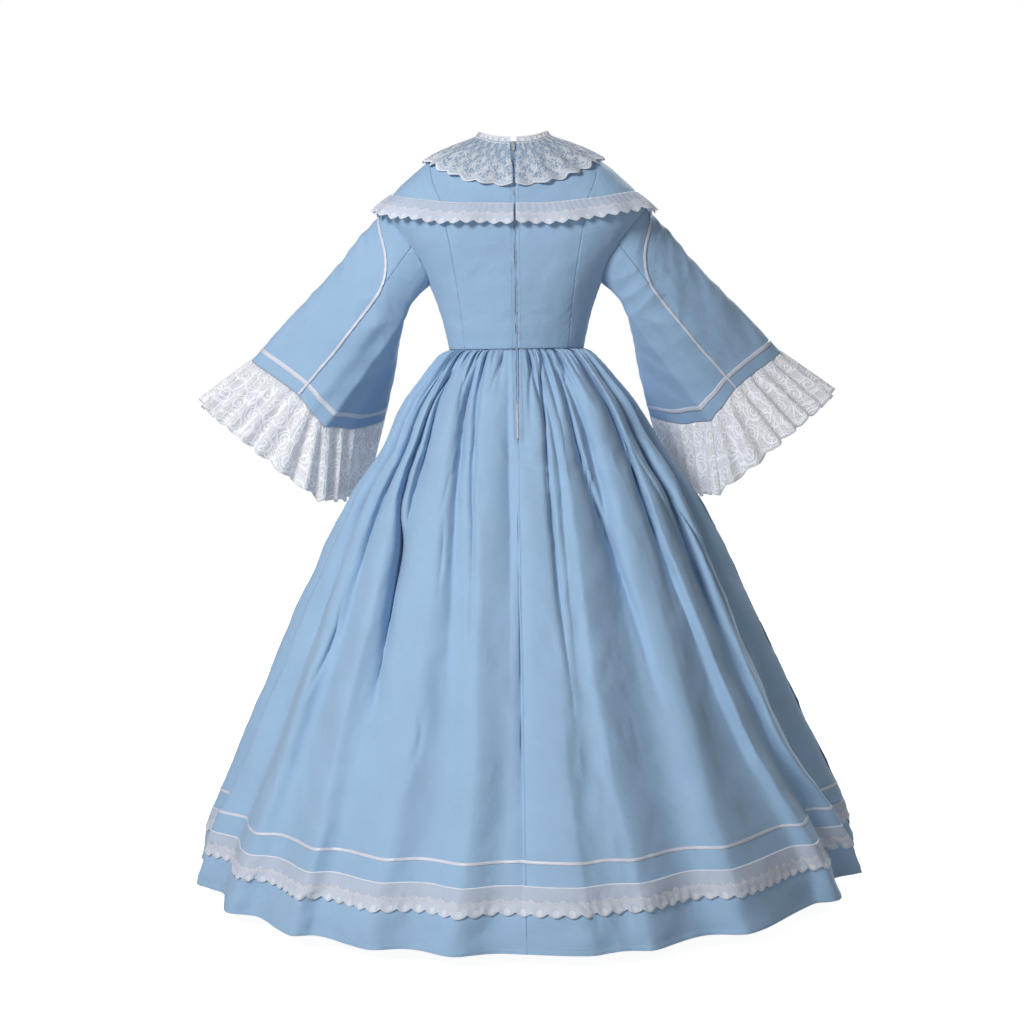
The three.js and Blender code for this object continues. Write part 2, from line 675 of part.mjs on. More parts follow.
function addSleeves() {
  const grid = sleeveGrid();
  const { front, back } = SLEEVE_SEAM_COLUMNS;
  const upper = columnsOf(grid, back, front + SLEEVE_COLUMNS);
  addPair('sleeve_upper', trimmed(upper, ['left', 'right']), COTTON, 'cotton');
  addPair('sleeve_under', trimmed(columnsOf(grid, front, back), ['left', 'right']), COTTON, 'cotton');
  const lace = sleeveLace(grid);
  addPiece('sleeve_lace_left', wall(lace, LACE, true), 'lace');
  addPiece('sleeve_lace_right', wall(mirrored(lace), LACE, true), 'lace');
  const rows = grid.slice(SLEEVE_RIBBON_ROW, SLEEVE_RIBBON_ROW + 2);
  const crossing = RIBBON_WIDTH / 2 + 3 * SEAM_GAP;
  const band = trimmed(columnsOf(rows, back, back + SLEEVE_COLUMNS), ['left', 'right'], crossing);
  addPair('sleeve_hem_ribbon', moved(band, ON_TOP + RIBBON), RIBBON, 'satin', 0.35);
  addPair('sleeve_ribbon', sleeveRibbon(grid), RIBBON, 'satin', 0.35);
}

// Gathered collar, from its heading above the neck edge to the scalloped edge
function collarGrid() {
  const count = COLLAR.waves * COLLAR.columnsPerWave;
  const neck = Math.asin(COLLAR_OPENING / BODICE_RINGS[RING.neck].half);
  const rows = [-1, COLLAR.gather, 1.1, COLLAR.edge];
  const points = rows.map((level, r) => Array.from({ length: count + 1 }, (_, i) => {
    const azimuth = lerp(neck, 2 * Math.PI - neck, i / count);
    const wave = Math.cos((i / COLLAR.columnsPerWave) * 2 * Math.PI);
    if (level < 0) {
      const { p, n } = bodicePlace(azimuth, RING.neck);
      return p.addScaledVector(n, COLLAR.lift + LACE).add(new THREE.Vector3(0, 0, COLLAR.headingUp));
    }
    const scallop = r === rows.length - 1 ? COLLAR.scallop * wave : 0;
    const { p, n } = bodicePlace(azimuth, level + scallop);
    const swell = COLLAR.wave * (r - 1) * (1 + wave) / 2;
    return p.addScaledVector(n, COLLAR.lift + LACE + swell);
  }));
  const grid = gridNormals(points, false);
  return grid.map((row) => row.map((place, c) => {
    if (c > 0 && c < count) return place;
    const side = c === 0 ? COLLAR_OPENING : -COLLAR_OPENING;
    return { p: new THREE.Vector3(side, place.p.y, place.p.z), n: place.n };
  }));
}

function berthaGrid() {
  const start = Math.asin(ZIP_OPENING / 2 / BODICE_RINGS[RING.frillTop].half);
  const shares = [0, 0.5, 1];
  const points = shares.map((share) => Array.from({ length: BERTHA.columns + 1 }, (_, i) => {
    const azimuth = lerp(start, 2 * Math.PI - start, i / BERTHA.columns);
    const wave = 1 + Math.cos((i / BERTHA.columns) * BERTHA.waves * 2 * Math.PI);
    const { p, n } = bodicePlace(azimuth, RING.frillTop);
    const top = p.addScaledVector(n, BERTHA.lift + LACE);
    const edge = pointOnRing(BERTHA_EDGE, azimuth);
    const bulge = n.clone().multiplyScalar(4 * share * (1 - share) * 2 + BERTHA.wave * share * wave);
    return top.lerp(edge, share).add(bulge);
  }));
  return gridNormals(points, false);
}

// Zip: the tape lies behind the open edges, with the closed coil standing up between them
function besideOpening(edge, next, distance) {
  const share = (distance - Math.abs(edge.p.x)) / (Math.abs(next.p.x) - Math.abs(edge.p.x));
  return { p: edge.p.clone().lerp(next.p, share), n: edge.n.clone().lerp(next.n, share).normalize() };
}

function tapeRow(left, right) {
  const behind = -(COTTON + TAPE_GAP);
  const last = right.length - 1;
  const side = (edge, next, distance, out) => {
    const { p, n } = besideOpening(edge, next, distance);
    return { p: p.addScaledVector(n, out), n };
  };
  const steps = [
    { away: TAPE_HALF, out: behind },
    { away: COIL_HALF + 0.1, out: behind },
    { away: COIL_HALF, out: -0.4 },
  ];
  const rightSide = steps.map(({ away, out }) => side(right[last], right[last - 1], away, out));
  const leftSide = steps.map(({ away, out }) => side(left[0], left[1], away, out));
  return [...rightSide, ...leftSide.reverse()];
}

function tapeGrid(bodice, skirtLeft, skirtRight) {
  const end = (SKIRT_ROWS[3] - ZIP_END_Z) / (SKIRT_ROWS[3] - SKIRT_ROWS[4]);
  const partWay = (grid) => grid[3].map((place, c) => ({
    p: place.p.clone().lerp(grid[4][c].p, end),
    n: place.n.clone().lerp(grid[4][c].n, end).normalize(),
  }));
  const other = mirrored(bodice);
  const upper = bodice.map((row, r) => tapeRow(row, other[r]));
  const lower = skirtLeft.slice(0, 4).map((row, r) => tapeRow(row, skirtRight[r]));
  return [...upper, ...lower, tapeRow(partWay(skirtLeft), partWay(skirtRight))];
}

// Slider and pull, drawn in the plane of the back and set on the coil
const SLIDER = {
  width: 8, length: 10, base: 2, bridgeInside: 4, bridgeRise: 2, bar: 1, bridgeWidth: 1.6, level: 0.13,
};
const PULL = { width: 4.4, length: 19, plate: 1, holeWidth: 2.6, holeTop: 0.5, holeEnd: 4.2 };

function sliderPlane() {
  const { p, n } = bodicePlace(0, SLIDER.level);
  const up = new THREE.Vector3(1, 0, 0).cross(n).normalize();
  if (up.z < 0) up.negate();
  const side = up.clone().cross(n).normalize();
  return { origin: p, out: n, up, side };
}

// Moves a shape from its own axes (across, up, out) to the back of the neck
function placeOnBack(geometry, lift) {
  const { origin, out, up, side } = sliderPlane();
  const matrix = new THREE.Matrix4().makeBasis(side, up, out);
  matrix.setPosition(origin.clone().addScaledVector(out, lift));
  geometry.applyMatrix4(matrix);
  return geometry;
}

function solid(wasm, geometry) {
  geometry.deleteAttribute('normal');
  geometry.deleteAttribute('uv');
  const merged = mergeVertices(geometry, 1e-5);
  return new wasm.Manifold(new wasm.Mesh({
    numProp: 3,
    vertProperties: new Float32Array(merged.attributes.position.array),
    triVerts: new Uint32Array(merged.index.array),
  }));
}

function geometryOf(body) {
  const mesh = body.getMesh();
  const geometry = new THREE.BufferGeometry();
  geometry.setAttribute('position', new THREE.BufferAttribute(mesh.vertProperties, 3));
  geometry.setIndex(new THREE.BufferAttribute(mesh.triVerts, 1));
  return geometry;
}

function sliderBase() {
  const { width, length, base } = SLIDER;
  const shape = new THREE.Shape();
  shape.moveTo(-width / 2 + 1, length / 2);
  shape.lineTo(width / 2 - 1, length / 2);
  shape.quadraticCurveTo(width / 2, length / 2, width / 2, length / 2 - 2);
  shape.quadraticCurveTo(width / 2 - 0.4, -1, 2.6, -length / 2);
  shape.lineTo(-2.6, -length / 2);
  shape.quadraticCurveTo(-width / 2 + 0.4, -1, -width / 2, length / 2 - 2);
  shape.quadraticCurveTo(-width / 2, length / 2, -width / 2 + 1, length / 2);
  return new THREE.ExtrudeGeometry(shape, { depth: base, bevelEnabled: false, curveSegments: 4 });
}

function sliderBridge() {
  const { bridgeInside, bridgeRise, bar, bridgeWidth, base } = SLIDER;
  const reach = bridgeInside / 2 + bar;
  const sunk = 0.4;
  const arch = new THREE.Shape();
  arch.moveTo(-reach, -sunk);
  arch.lineTo(-bridgeInside / 2, -sunk);
  arch.lineTo(-bridgeInside / 2, bridgeRise);
  arch.lineTo(bridgeInside / 2, bridgeRise);
  arch.lineTo(bridgeInside / 2, -sunk);
  arch.lineTo(reach, -sunk);
  arch.lineTo(reach, bridgeRise + 0.4);
  arch.lineTo(reach - 0.6, bridgeRise + bar);
  arch.lineTo(-reach + 0.6, bridgeRise + bar);
  arch.lineTo(-reach, bridgeRise + 0.4);
  const geometry = new THREE.ExtrudeGeometry(arch, { depth: bridgeWidth, bevelEnabled: false });
  geometry.translate(0, 0, -bridgeWidth / 2);
  geometry.rotateX(Math.PI / 2);
  geometry.rotateZ(Math.PI / 2);
  geometry.translate(0, 0, base);
  return geometry;
}

function pullPlate() {
  const { width, length, plate, holeWidth, holeTop, holeEnd } = PULL;
  const shape = new THREE.Shape();
  const tip = length - width / 2;
  shape.moveTo(-width / 2 + 0.4, 0.5);
  shape.lineTo(-width / 2, -holeEnd - 1);
  shape.lineTo(-width / 2, -tip);
  shape.absarc(0, -tip, width / 2, Math.PI, 2 * Math.PI, false);
  shape.lineTo(width / 2, -holeEnd - 1);
  shape.lineTo(width / 2 - 0.4, 0.5);
  const hole = new THREE.Path();
  hole.moveTo(-holeWidth / 2, -holeTop);
  hole.lineTo(-holeWidth / 2, -holeEnd);
  hole.lineTo(holeWidth / 2, -holeEnd);
  hole.lineTo(holeWidth / 2, -holeTop);
  shape.holes.push(hole);
  const geometry = new THREE.ExtrudeGeometry(shape, { depth: plate, bevelEnabled: false, curveSegments: 8 });
  geometry.translate(0, 0, -plate / 2);
  return geometry;
}

async function addZip(bodice, skirt) {
  addPiece('zip_tape', wall(tapeGrid(bodice, skirt.backLeft, skirt.backRight), TAPE), 'tape', 0.7);
  const wasm = await Module();
  wasm.setup();
  const slider = solid(wasm, sliderBase()).add(solid(wasm, sliderBridge()));
  addPiece('zip_slider', placeOnBack(geometryOf(slider), SEAM_GAP), 'metal', 0.3, 0.9);
  const pivot = SEAM_GAP + SLIDER.base + SLIDER.bridgeRise / 2;
  addPiece('zip_pull', placeOnBack(pullPlate(), pivot), 'metal', 0.3, 0.9);
}

const bodiceBack = addBodice();
const skirtBack = addSkirt();
addSleeves();
addPiece('lace_collar', wall(collarGrid(), LACE), 'lace');
addPiece('bertha_frill', wall(berthaGrid(), LACE), 'lace');
await addZip(bodiceBack, skirtBack);

export default gown;
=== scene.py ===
import math

import bpy
import numpy as np
from mathutils import Matrix, Vector


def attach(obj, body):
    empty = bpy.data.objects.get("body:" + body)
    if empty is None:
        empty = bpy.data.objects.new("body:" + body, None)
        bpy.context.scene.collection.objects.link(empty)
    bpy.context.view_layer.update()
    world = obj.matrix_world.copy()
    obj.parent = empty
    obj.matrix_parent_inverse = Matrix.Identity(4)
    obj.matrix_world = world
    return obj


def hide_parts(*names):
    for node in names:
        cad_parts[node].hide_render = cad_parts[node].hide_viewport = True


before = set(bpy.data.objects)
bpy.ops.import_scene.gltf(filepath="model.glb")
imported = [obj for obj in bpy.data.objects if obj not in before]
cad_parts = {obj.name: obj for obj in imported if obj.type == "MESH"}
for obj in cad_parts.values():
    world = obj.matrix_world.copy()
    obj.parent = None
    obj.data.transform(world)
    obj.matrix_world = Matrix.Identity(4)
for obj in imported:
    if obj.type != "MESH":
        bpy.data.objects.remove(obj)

bl_info = {
    "name": "Gown with pagoda sleeves",
    "version": (1, 0, 0),
    "blender": (4, 5, 0),
    "location": "View3D > Sidebar > Gown",
    "description": "Dresses the packed gown in cotton, lace, satin ribbon and stitching",
    "category": "Object",
}

# Millimetres, as in the part's source. Meshes are made in metres.
MM = 0.001
SIDES = ("left", "right")

# Bodice rings from the neck to the waist: half width, depth to the back and to the front, height
# at the back, side and front, squareness, and how far the princess seams lie from the middle
RING_KEYS = ("half", "back", "front", "z_back", "z_side", "z_front", "corner", "seam_back", "seam_front")
BODICE_RINGS = np.array([
    (62, 58, 75, 28, 42, -35, 2.0, 62, 62),
    (105, 87, 103, -10, 25, -75, 2.1, 105, 105),
    (152, 103, 120, -50, 0, -112, 2.3, 152, 152),
    (222, 109, 132, -84, -62, -148, 2.7, 131, 122),
    (239, 111, 137, -127, -90, -182, 2.9, 123, 110),
    (157, 103, 133, -224, -224, -224, 2.4, 106, 96),
    (136, 95, 113, -285, -285, -285, 2.1, 99, 91),
    (123, 88, 96, -342, -342, -342, 2.0, 94, 86),
])
FRILL_TOP, SHOULDER_END, UNDERARM, WAIST = 3, 4, 5, 7
PRINCESS_LEVELS = (2, 2.08, 2.3, 2.6, 3, 3.4, 3.8, 4.2, 4.6, 5, 5.5, 6, 6.5, 7)
ARM_STEPS = 8
ARMHOLE_REACH = {"back": 31, "front": 34}
SHOULDER_RISE = 2.5
BERTHA_EDGE = dict(zip(RING_KEYS, (256, 120, 146, -121, -95, -184, 2.8)))

WAIST_Z, HEM_Z = -342, -1293
ZIP_OPENING, ZIP_END_Z, PLACKET_HALF = 3.4, -495, 9

# Skirt outline: height, half width, depth to the back and to the front, depth of a fold
SKIRT_PROFILE = np.array([
    (-342, 123, 88, 96, 4),
    (-348, 138, 104, 110, 7),
    (-370, 160, 127, 132, 11),
    (-392, 178, 147, 152, 15),
    (-436, 213, 182, 188, 20),
    (-524, 262, 236, 242, 27),
    (-611, 323, 300, 304, 33),
    (-721, 380, 362, 364, 37),
    (-895, 460, 448, 448, 42),
    (-1070, 536, 526, 526, 47),
    (-1178, 586, 576, 576, 50),
    (-1221, 602, 592, 592, 52),
    (-1293, 622, 612, 612, 55),
])
SKIRT_OFF_CENTRE = -8

# Folds of the skirt's back from the wearer's right to the left: azimuths of the ridge at the
# named heights, depth of the valley on its left, the same at the waist, and where that valley lies
FOLD_HEIGHTS = (-342, -500, -650, -800, -1000, -1150, -1293)
BACK_FOLDS = [
    ((-87, -84, -80, -79, -82, -88, -95), 0.9, 1, 0.5),
    ((-70, -69, -61, -57, -58, -67, -76), 1.0, 1, 0.4),
    ((-53, -49, -43, -44.5, -48, -54, -59), 0.8, 1, 0.35),
    ((-35, -38, -34.5, -34.3, -34, -33.7, -34.8), 0.7, 1, 0.5),
    ((-18.7, -18, -15, -14, -15, -16.5, -18), 0.35, 0.6, 0.5),
    ((-6, -9.5, -7.5, -7, -6.9, -7.8, -9), 0.45, 0.3, 0.5),
    ((20, 18, 13.5, 11.5, 9.8, 10.5, 11.8), 0.5, 1, 0.5),
    ((34, 31, 27, 24, 23, 24, 25), 0.55, 1, 0.62),
    ((51, 47, 42.5, 40, 39.5, 38, 39.5), 0.8, 1, 0.5),
    ((64, 62, 59, 56, 54.5, 54, 56.8), 0.75, 1, 0.5),
    ((77, 74, 71, 70.5, 71, 72.5, 75.5), 0.8, 1, 0.5),
    ((90, 88.5, 87, 87, 88.5, 91, 93), 0.9, 1, 0.5),
]
SEAM_PHASE = 5 + 1 / 3
LEFT_SIDE_PHASE = 11
FRONT_FOLDS = 10
FOLD_RUN = 95.0
ALL_ROUND = len(BACK_FOLDS) + FRONT_FOLDS
HEM_FOLD_UP, HEM_FOLD_SOFTNESS = 9, 2.4

# Tucks that the waist seam gathers at the back: azimuth at the waist, half width in degrees,
# depth and length
TUCKS = [
    (6, 1.0, 6, 30), (10, 1.8, 9, 48), (16, 0.9, 6, 26), (22, 2.0, 11, 120), (31, 1.0, 7, 45),
    (38, 1.2, 7, 40), (46, 1.6, 8, 60), (55, 1.4, 9, 55), (61, 2.2, 10, 95), (70, 1.4, 7, 44),
    (78, 2.0, 8, 70), (-9, 1.4, 11, 100), (-14, 0.9, 6, 28), (-18, 1.8, 13, 150), (-24, 1.5, 9, 62),
    (-31, 2.2, 13, 60), (-38, 1.2, 8, 45), (-47, 2.0, 11, 110), (-56, 1.3, 8, 55), (-66, 1.8, 10, 95),
    (-78, 1.6, 8, 60),
]

# Creases placed on the skirt's back: the side that falls steeply (1 towards the wearer's
# left, -1 towards the right, 0 both alike), heights and azimuths along the crease, its width at the
# top and at the bottom, its depth, and the share of its length at which it is deepest
CREASES = [
    (-1, [(-354, 40), (-420, 45.5), (-527, 46), (-596, 42.6), (-695, 35.8), (-985, 31.8)], (3, 26), 46, 0.5),
    (0, [(-380, 68), (-470, 68), (-540, 62), (-620, 54)], (12, 16), 13, 0.55),
    (-1, [(-353, 56), (-400, 50.5), (-438, 46.5)], (4.5, 6.5), 14, 0.4),
    (0, [(-348, 38.5), (-412, 31), (-480, 26.5)], (2.8, 4), 6, 0.2),
    (-1, [(-350, 22), (-437, 20), (-521, 18.5), (-660, 14.5), (-878, 11.5)], (3.5, 15), 16, 0.3),
    (0, [(-346, 9), (-386, 12.5), (-424, 15.5)], (3, 3.2), 8, 0.35),
    (0, [(-349, -9.5), (-430, -5.5), (-497, -4)], (2.5, 4.5), 15, 0.35),
    (1, [(-346, -18), (-405, -12.5), (-498, -10), (-628, -8), (-985, -9.3)], (3.5, 15), 17, 0.3),
    (0, [(-354, -20), (-427, -19)], (2.5, 3), 9, 0.4),
    (0, [(-347, -31), (-380, -30), (-413, -24)], (3.5, 3.5), 12, 0.45),
    (-1, [(-372, -26), (-422, -24), (-527, -22.8), (-590, -22.6), (-760, -26), (-950, -28)], (3, 26), 28, 0.36),
    (0, [(-350, -46.5), (-435, -43)], (3.3, 3.8), 9, 0.4),
    (1, [(-380, -52), (-420, -47.5), (-504, -47), (-612, -39.5), (-801, -38)], (5.5, 20), 20, 0.5),
    (1, [(-500, -50), (-615, -48), (-744, -51), (-880, -51)], (8, 22), 20, 0.45),
    (1, [(-550, -56), (-698, -59), (-956, -59)], (10, 18), 18, 0.35),
    (0, [(-405, 90), (-634, 90), (-762, 66)], (12, 30), 6, 0.5),
    (-1, [(-620, 24.5), (-700, 22.5), (-760, 22)], (4, 7), 4, 0.5),
    (1, [(-640, 27.5), (-590, 26), (-545, 27)], (4, 4), 3, 0.5),
    (1, [(-920, 23.5), (-976, 21), (-1030, 24)], (5, 5), 4, 0.5),
    (-1, [(-805, -21.5), (-916, -14)], (3.5, 3.5), 3.5, 0.5),
    (0, [(-936, -20.7), (-1021, -21)], (4, 4), 4, 0.4),
    (1, [(-955, -20.5), (-998, -12)], (3, 3), 3.5, 0.4),
    (1, [(-1003, -21.4), (-1022, -12.7)], (3, 3), 3, 0.5),
    (-1, [(-864, 61), (-955, 74)], (5, 9), 3.5, 0.4),
    (-1, [(-930, 60), (-1000, 76)], (6, 9), 3, 0.5),
    (1, [(-769, 52.5), (-834, 50.7), (-940, 54)], (5, 8), 6, 0.5),
    (1, [(-816, 12.4), (-900, 13.3)], (5, 5), 3, 0.5),
    (0, [(-789, -4.5), (-856, -6.7)], (5, 5), 3, 0.5),
    (0, [(-666, -1.5), (-692, 1.5)], (3, 3), 2, 0.5),
    (1, [(-930, -38), (-1004, -37.8)], (5, 8), 5, 0.5),
    (0, [(-1093, -22), (-1186, -17.7)], (5, 6), 4, 0.5),
    (1, [(-1210, -6.7), (-1250, -10.6)], (5, 5), 4, 0.5),
    (0, [(-1222, 38.8), (-1284, 42.2)], (7, 9), 7, 0.7),
    (0, [(-1228, 4.6), (-1276, 9)], (5, 6), 4, 0.6),
    (-1, [(-520, 0.6), (-900, 0.4), (-1286, 0.6)], (9, 24), 10, 0.5),
]

# The left sleeve's lengthways lines: the column on the armhole, four points, how the lace falls
SLEEVE_COLUMNS = 16
SLEEVE_LINES = [
    (0, [(282, -8, -132), (333, -22, -192), (405, -50, -263), (497, -90, -356)], (103, -20, -82)),
    (2, [(275, -80, -178), (322, -110, -245), (368, -155, -315), (412, -205, -392)], (72, -42, -100)),
    (5, [(218, -82, -250), (240, -115, -312), (268, -165, -382), (303, -225, -452)], (30, -38, -126)),
    (7, [(200, -14, -262), (214, -38, -315), (228, -80, -385), (254, -150, -474)], (46, -38, -132)),
    (10, [(190, 32, -255), (215, 24, -300), (268, 10, -370), (355, -10, -481)], (16, 6, -137)),
    (12, [(224, 54, -206), (262, 44, -256), (322, 22, -330), (404, -15, -421)], (78, 14, -106)),
]
SLEEVE_SEAMS = {"front": 4, "back": 12}
SLEEVE_FOLD = 10
SLEEVE_RUN, SLEEVE_RADIUS = 380, 110
ARMHOLE_GAP = 0.4
SLEEVE_ROWS = (0, 0.1, 0.22, 0.36, 0.5, 0.65, 0.8, 0.938, 0.955, 1)
RIBBON_PATH = [
    (15.3, 0.5), (14.1, 1.2), (13, 1.9), (12.3, 2.6), (12, 3.3), (12, 4.2), (12, 5.1), (12, 6),
    (12, 7), (12, 8.93),
]
COIL_PITCH, COIL_SINK, ZIP_STITCH_OUT = 1.1, 0.75, 7.5
LACE_WAVES = 26
COLLAR_WAVES = 20
COLLAR_TOP, COLLAR_EDGE, COLLAR_LIFT, COLLAR_GAP, HEADING_SHARE = 0.16, 2.16, 2.9, 5.4, 0.1
SCALLOP_CURVE = 1.5
FRILL_DEPTH, FRILL_WAVES = 7.5, 18
RIPPLE_WAVES = 8
SEAM_WIDTH = 1.1

# Camera behind the gown: place in metres, tilt and roll in degrees, lens for a film 36 mm wide
CAMERA_PLACE, CAMERA_TILT, CAMERA_ROLL, CAMERA_LENS = (0.013, 3.66, -0.31), 5.2, -0.9, 69.86
FLOOR_Z = -1.318


# Sums


def smooth(places, values, place):
    """Smooth curve through a table's column that never overshoots its values."""
    places, values = np.asarray(places, float), np.asarray(values, float)
    if places[-1] < places[0]:
        places, values = places[::-1], values[::-1]
    steps = np.diff(values) / np.diff(places)
    before, after = steps[:-1], steps[1:]
    same_way = before * after > 0
    middle = np.where(same_way, 2 * before * after / np.where(same_way, before + after, 1), 0)
    slopes = np.concatenate([steps[:1], middle, steps[-1:]])
    place = np.asarray(place, float)
    i = np.clip(np.searchsorted(places, place, side="right") - 1, 0, len(places) - 2)
    span = places[i + 1] - places[i]
    t = np.clip((place - places[i]) / span, 0, 1)
    bend = t * (1 - t) * (slopes[i] * (1 - t) - slopes[i + 1] * t) * span
    return values[i] + (values[i + 1] - values[i]) * t * t * (3 - 2 * t) + bend


def between(a, b, share):
    return a + (b - a) * share


def ease(value, low, high):
    t = np.clip((value - low) / (high - low), 0, 1)
    return t * t * (3 - 2 * t)


def unit(vectors):
    return vectors / np.maximum(np.linalg.norm(vectors, axis=-1, keepdims=True), 1e-9)


def crowded(count, closeness=0.85):
    """Shares from 0 to 1 that lie closer together near both ends."""
    t = np.linspace(0, 1, count)
    return closeness * (1 - np.cos(np.pi * t)) / 2 + (1 - closeness) * t


def ripple(u, v, seed, size):
    """Slow unevenness of cloth, about 1 high, from waves that cross at set angles."""
    pick = np.random.default_rng(seed)
    total = np.zeros(np.broadcast(u, v).shape)
    for _ in range(RIPPLE_WAVES):
        angle, length, start = pick.uniform(0, math.pi), size * pick.uniform(0.6, 1.8), pick.uniform(0, 6.3)
        total += np.sin((u * math.cos(angle) + v * math.sin(angle)) * 2 * math.pi / length + start)
    return total / math.sqrt(RIPPLE_WAVES)


def creased(u, v, seed, size):
    """The same with sharp crests, for the creases of crisp cotton."""
    return 1 - 2 * np.abs(ripple(u, v, seed, size)) ** 0.8


def normals_of(points, closed=False):
    if closed:
        across = np.roll(points, -1, 1) - np.roll(points, 1, 1)
    else:
        across = np.gradient(points, axis=1)
    return unit(np.cross(across, np.gradient(points, axis=0)))


def run_across(points):
    """Length along each row from its first column."""
    steps = np.linalg.norm(np.diff(points, axis=1), axis=-1)
    return np.concatenate([np.zeros((len(points), 1)), np.cumsum(steps, 1)], 1)


def run_down(points):
    steps = np.linalg.norm(np.diff(points, axis=0), axis=-1)
    return np.concatenate([np.zeros((1, points.shape[1])), np.cumsum(steps, 0)], 0)


def run_along(points, closed=False):
    """Length along one line of points from its first."""
    steps = np.roll(points, -1, 0) - points if closed else np.diff(points, axis=0)
    return np.concatenate([[0], np.cumsum(np.linalg.norm(steps, axis=1))])


def flat_places(u, v):
    """Places on the flat cloth in metres, across and down."""
    return np.stack(np.broadcast_arrays(u, v), -1) * MM


def on_side(points, side):
    """Points of the wearer's left side, or the same mirrored to the right."""
    return points if side == "left" else (points * np.array([-1, 1, 1]))[:, ::-1]


# Bodice


def ring_at(level):
    return {key: smooth(range(len(BODICE_RINGS)), BODICE_RINGS[:, k], level) for k, key in enumerate(RING_KEYS)}


def on_ring(ring, azimuth):
    s, c = np.sin(azimuth), np.cos(azimuth)
    reach = (np.abs(s) ** ring["corner"] + np.abs(c) ** ring["corner"]) ** (-1 / ring["corner"])
    end = np.where(c > 0, ring["z_back"], ring["z_front"])
    depth = np.where(c > 0, ring["back"], ring["front"])
    z = end + (ring["z_side"] - end) * np.abs(reach * s) ** SHOULDER_RISE
    return np.stack(np.broadcast_arrays(ring["half"] * reach * s, depth * reach * c, z), -1)


def bodice_point(azimuth, level):
    return on_ring(ring_at(level), azimuth)


def bodice_place(azimuth, level):
    small = 1e-3
    across = bodice_point(azimuth + small, level) - bodice_point(azimuth - small, level)
    high, low = np.minimum(level + small, WAIST), np.maximum(level - small, 0)
    down = bodice_point(azimuth, high) - bodice_point(azimuth, low)
    return bodice_point(azimuth, level), unit(np.cross(across, down))


def seam_azimuth(level, side):
    """Azimuth of a princess seam, found by halving."""
    ring = ring_at(level)
    wanted = ring["seam_back" if side == "back" else "seam_front"]
    low, high = np.zeros_like(wanted), np.full_like(wanted, math.pi / 2)
    for _ in range(34):
        middle = (low + high) / 2
        azimuth = middle if side == "back" else math.pi - middle
        short = on_ring(ring, azimuth)[..., 0] < wanted
        low, high = np.where(short, middle, low), np.where(short, high, middle)
    return high if side == "back" else math.pi - high


def armhole(turn):
    turn = np.asarray(turn, float)
    angle = turn * 2 * math.pi
    reach = np.radians(np.where(turn <= 0.5, ARMHOLE_REACH["back"], ARMHOLE_REACH["front"]))
    level = (SHOULDER_END + UNDERARM) / 2 - (UNDERARM - SHOULDER_END) / 2 * np.cos(angle)
    return math.pi / 2 - reach * np.sin(angle), level


def centre_panel(side, columns):
    first = PRINCESS_LEVELS[0]
    levels = np.concatenate([np.linspace(0, first, 30, endpoint=False), np.linspace(first, WAIST, 110)])[:, None]
    edge = np.where(levels < first, math.pi / 2, seam_azimuth(np.maximum(levels, first), side))
    if side == "back":
        return bodice_point(edge * crowded(columns), levels)
    return bodice_point(between(edge, 2 * math.pi - edge, crowded(columns)), levels)


def side_panel(side, columns):
    t = np.linspace(0, len(PRINCESS_LEVELS) - 1, 130)[:, None]
    level = np.interp(t, range(len(PRINCESS_LEVELS)), PRINCESS_LEVELS)
    turn = np.minimum(t, ARM_STEPS) / (2 * ARM_STEPS)
    arm_azimuth, arm_level = armhole(turn if side == "back" else 1 - turn)
    below = np.maximum(t - ARM_STEPS, 0) / (len(PRINCESS_LEVELS) - 1 - ARM_STEPS)
    edge_level = np.where(t <= ARM_STEPS, arm_level, between(UNDERARM, WAIST, below))
    edge_azimuth = np.where(t <= ARM_STEPS, arm_azimuth, math.pi / 2)
    share = crowded(columns)
    start = seam_azimuth(level, side)
    points = bodice_point(between(start, edge_azimuth, share), between(level, edge_level, share))
    return points if side == "back" else points[:, ::-1]


# Skirt


def all_folds():
    last, first = BACK_FOLDS[-1][0], [a + 360 for a in BACK_FOLDS[0][0]]
    front = [
        (tuple(between(a, b, (i + 1) / (FRONT_FOLDS + 1)) for a, b in zip(last, first)), (0.8, 0.6)[i % 2], 1, 0.5)
        for i in range(FRONT_FOLDS)
    ]
    return [*BACK_FOLDS, *front]


def fold_table(z):
    rows = [smooth(FOLD_HEIGHTS, fold[0], z) for fold in all_folds()]
    return np.array([*rows, rows[0] + 360, rows[1] + 360])


def phase_azimuth(phases, z):
    folds, table = all_folds(), fold_table(z)
    index = np.floor(phases + 1e-9).astype(int)
    part = (phases - index)[:, None]
    turns = np.where(index >= len(folds), 360, 0)[:, None]
    index = index % len(folds)
    start, end = table[index], table[index + 1]
    share = np.array([folds[i][3] for i in index])[:, None]
    middle = np.where(index[:, None] == int(SEAM_PHASE), -start / 2, between(start, end, share))
    azimuth = np.where(part < 0.5, between(start, middle, part * 2), between(middle, end, part * 2 - 1))
    return (azimuth + turns).T, np.abs(end - start).T


def profile(column, z):
    return smooth(SKIRT_PROFILE[:, 0], SKIRT_PROFILE[:, column], z)


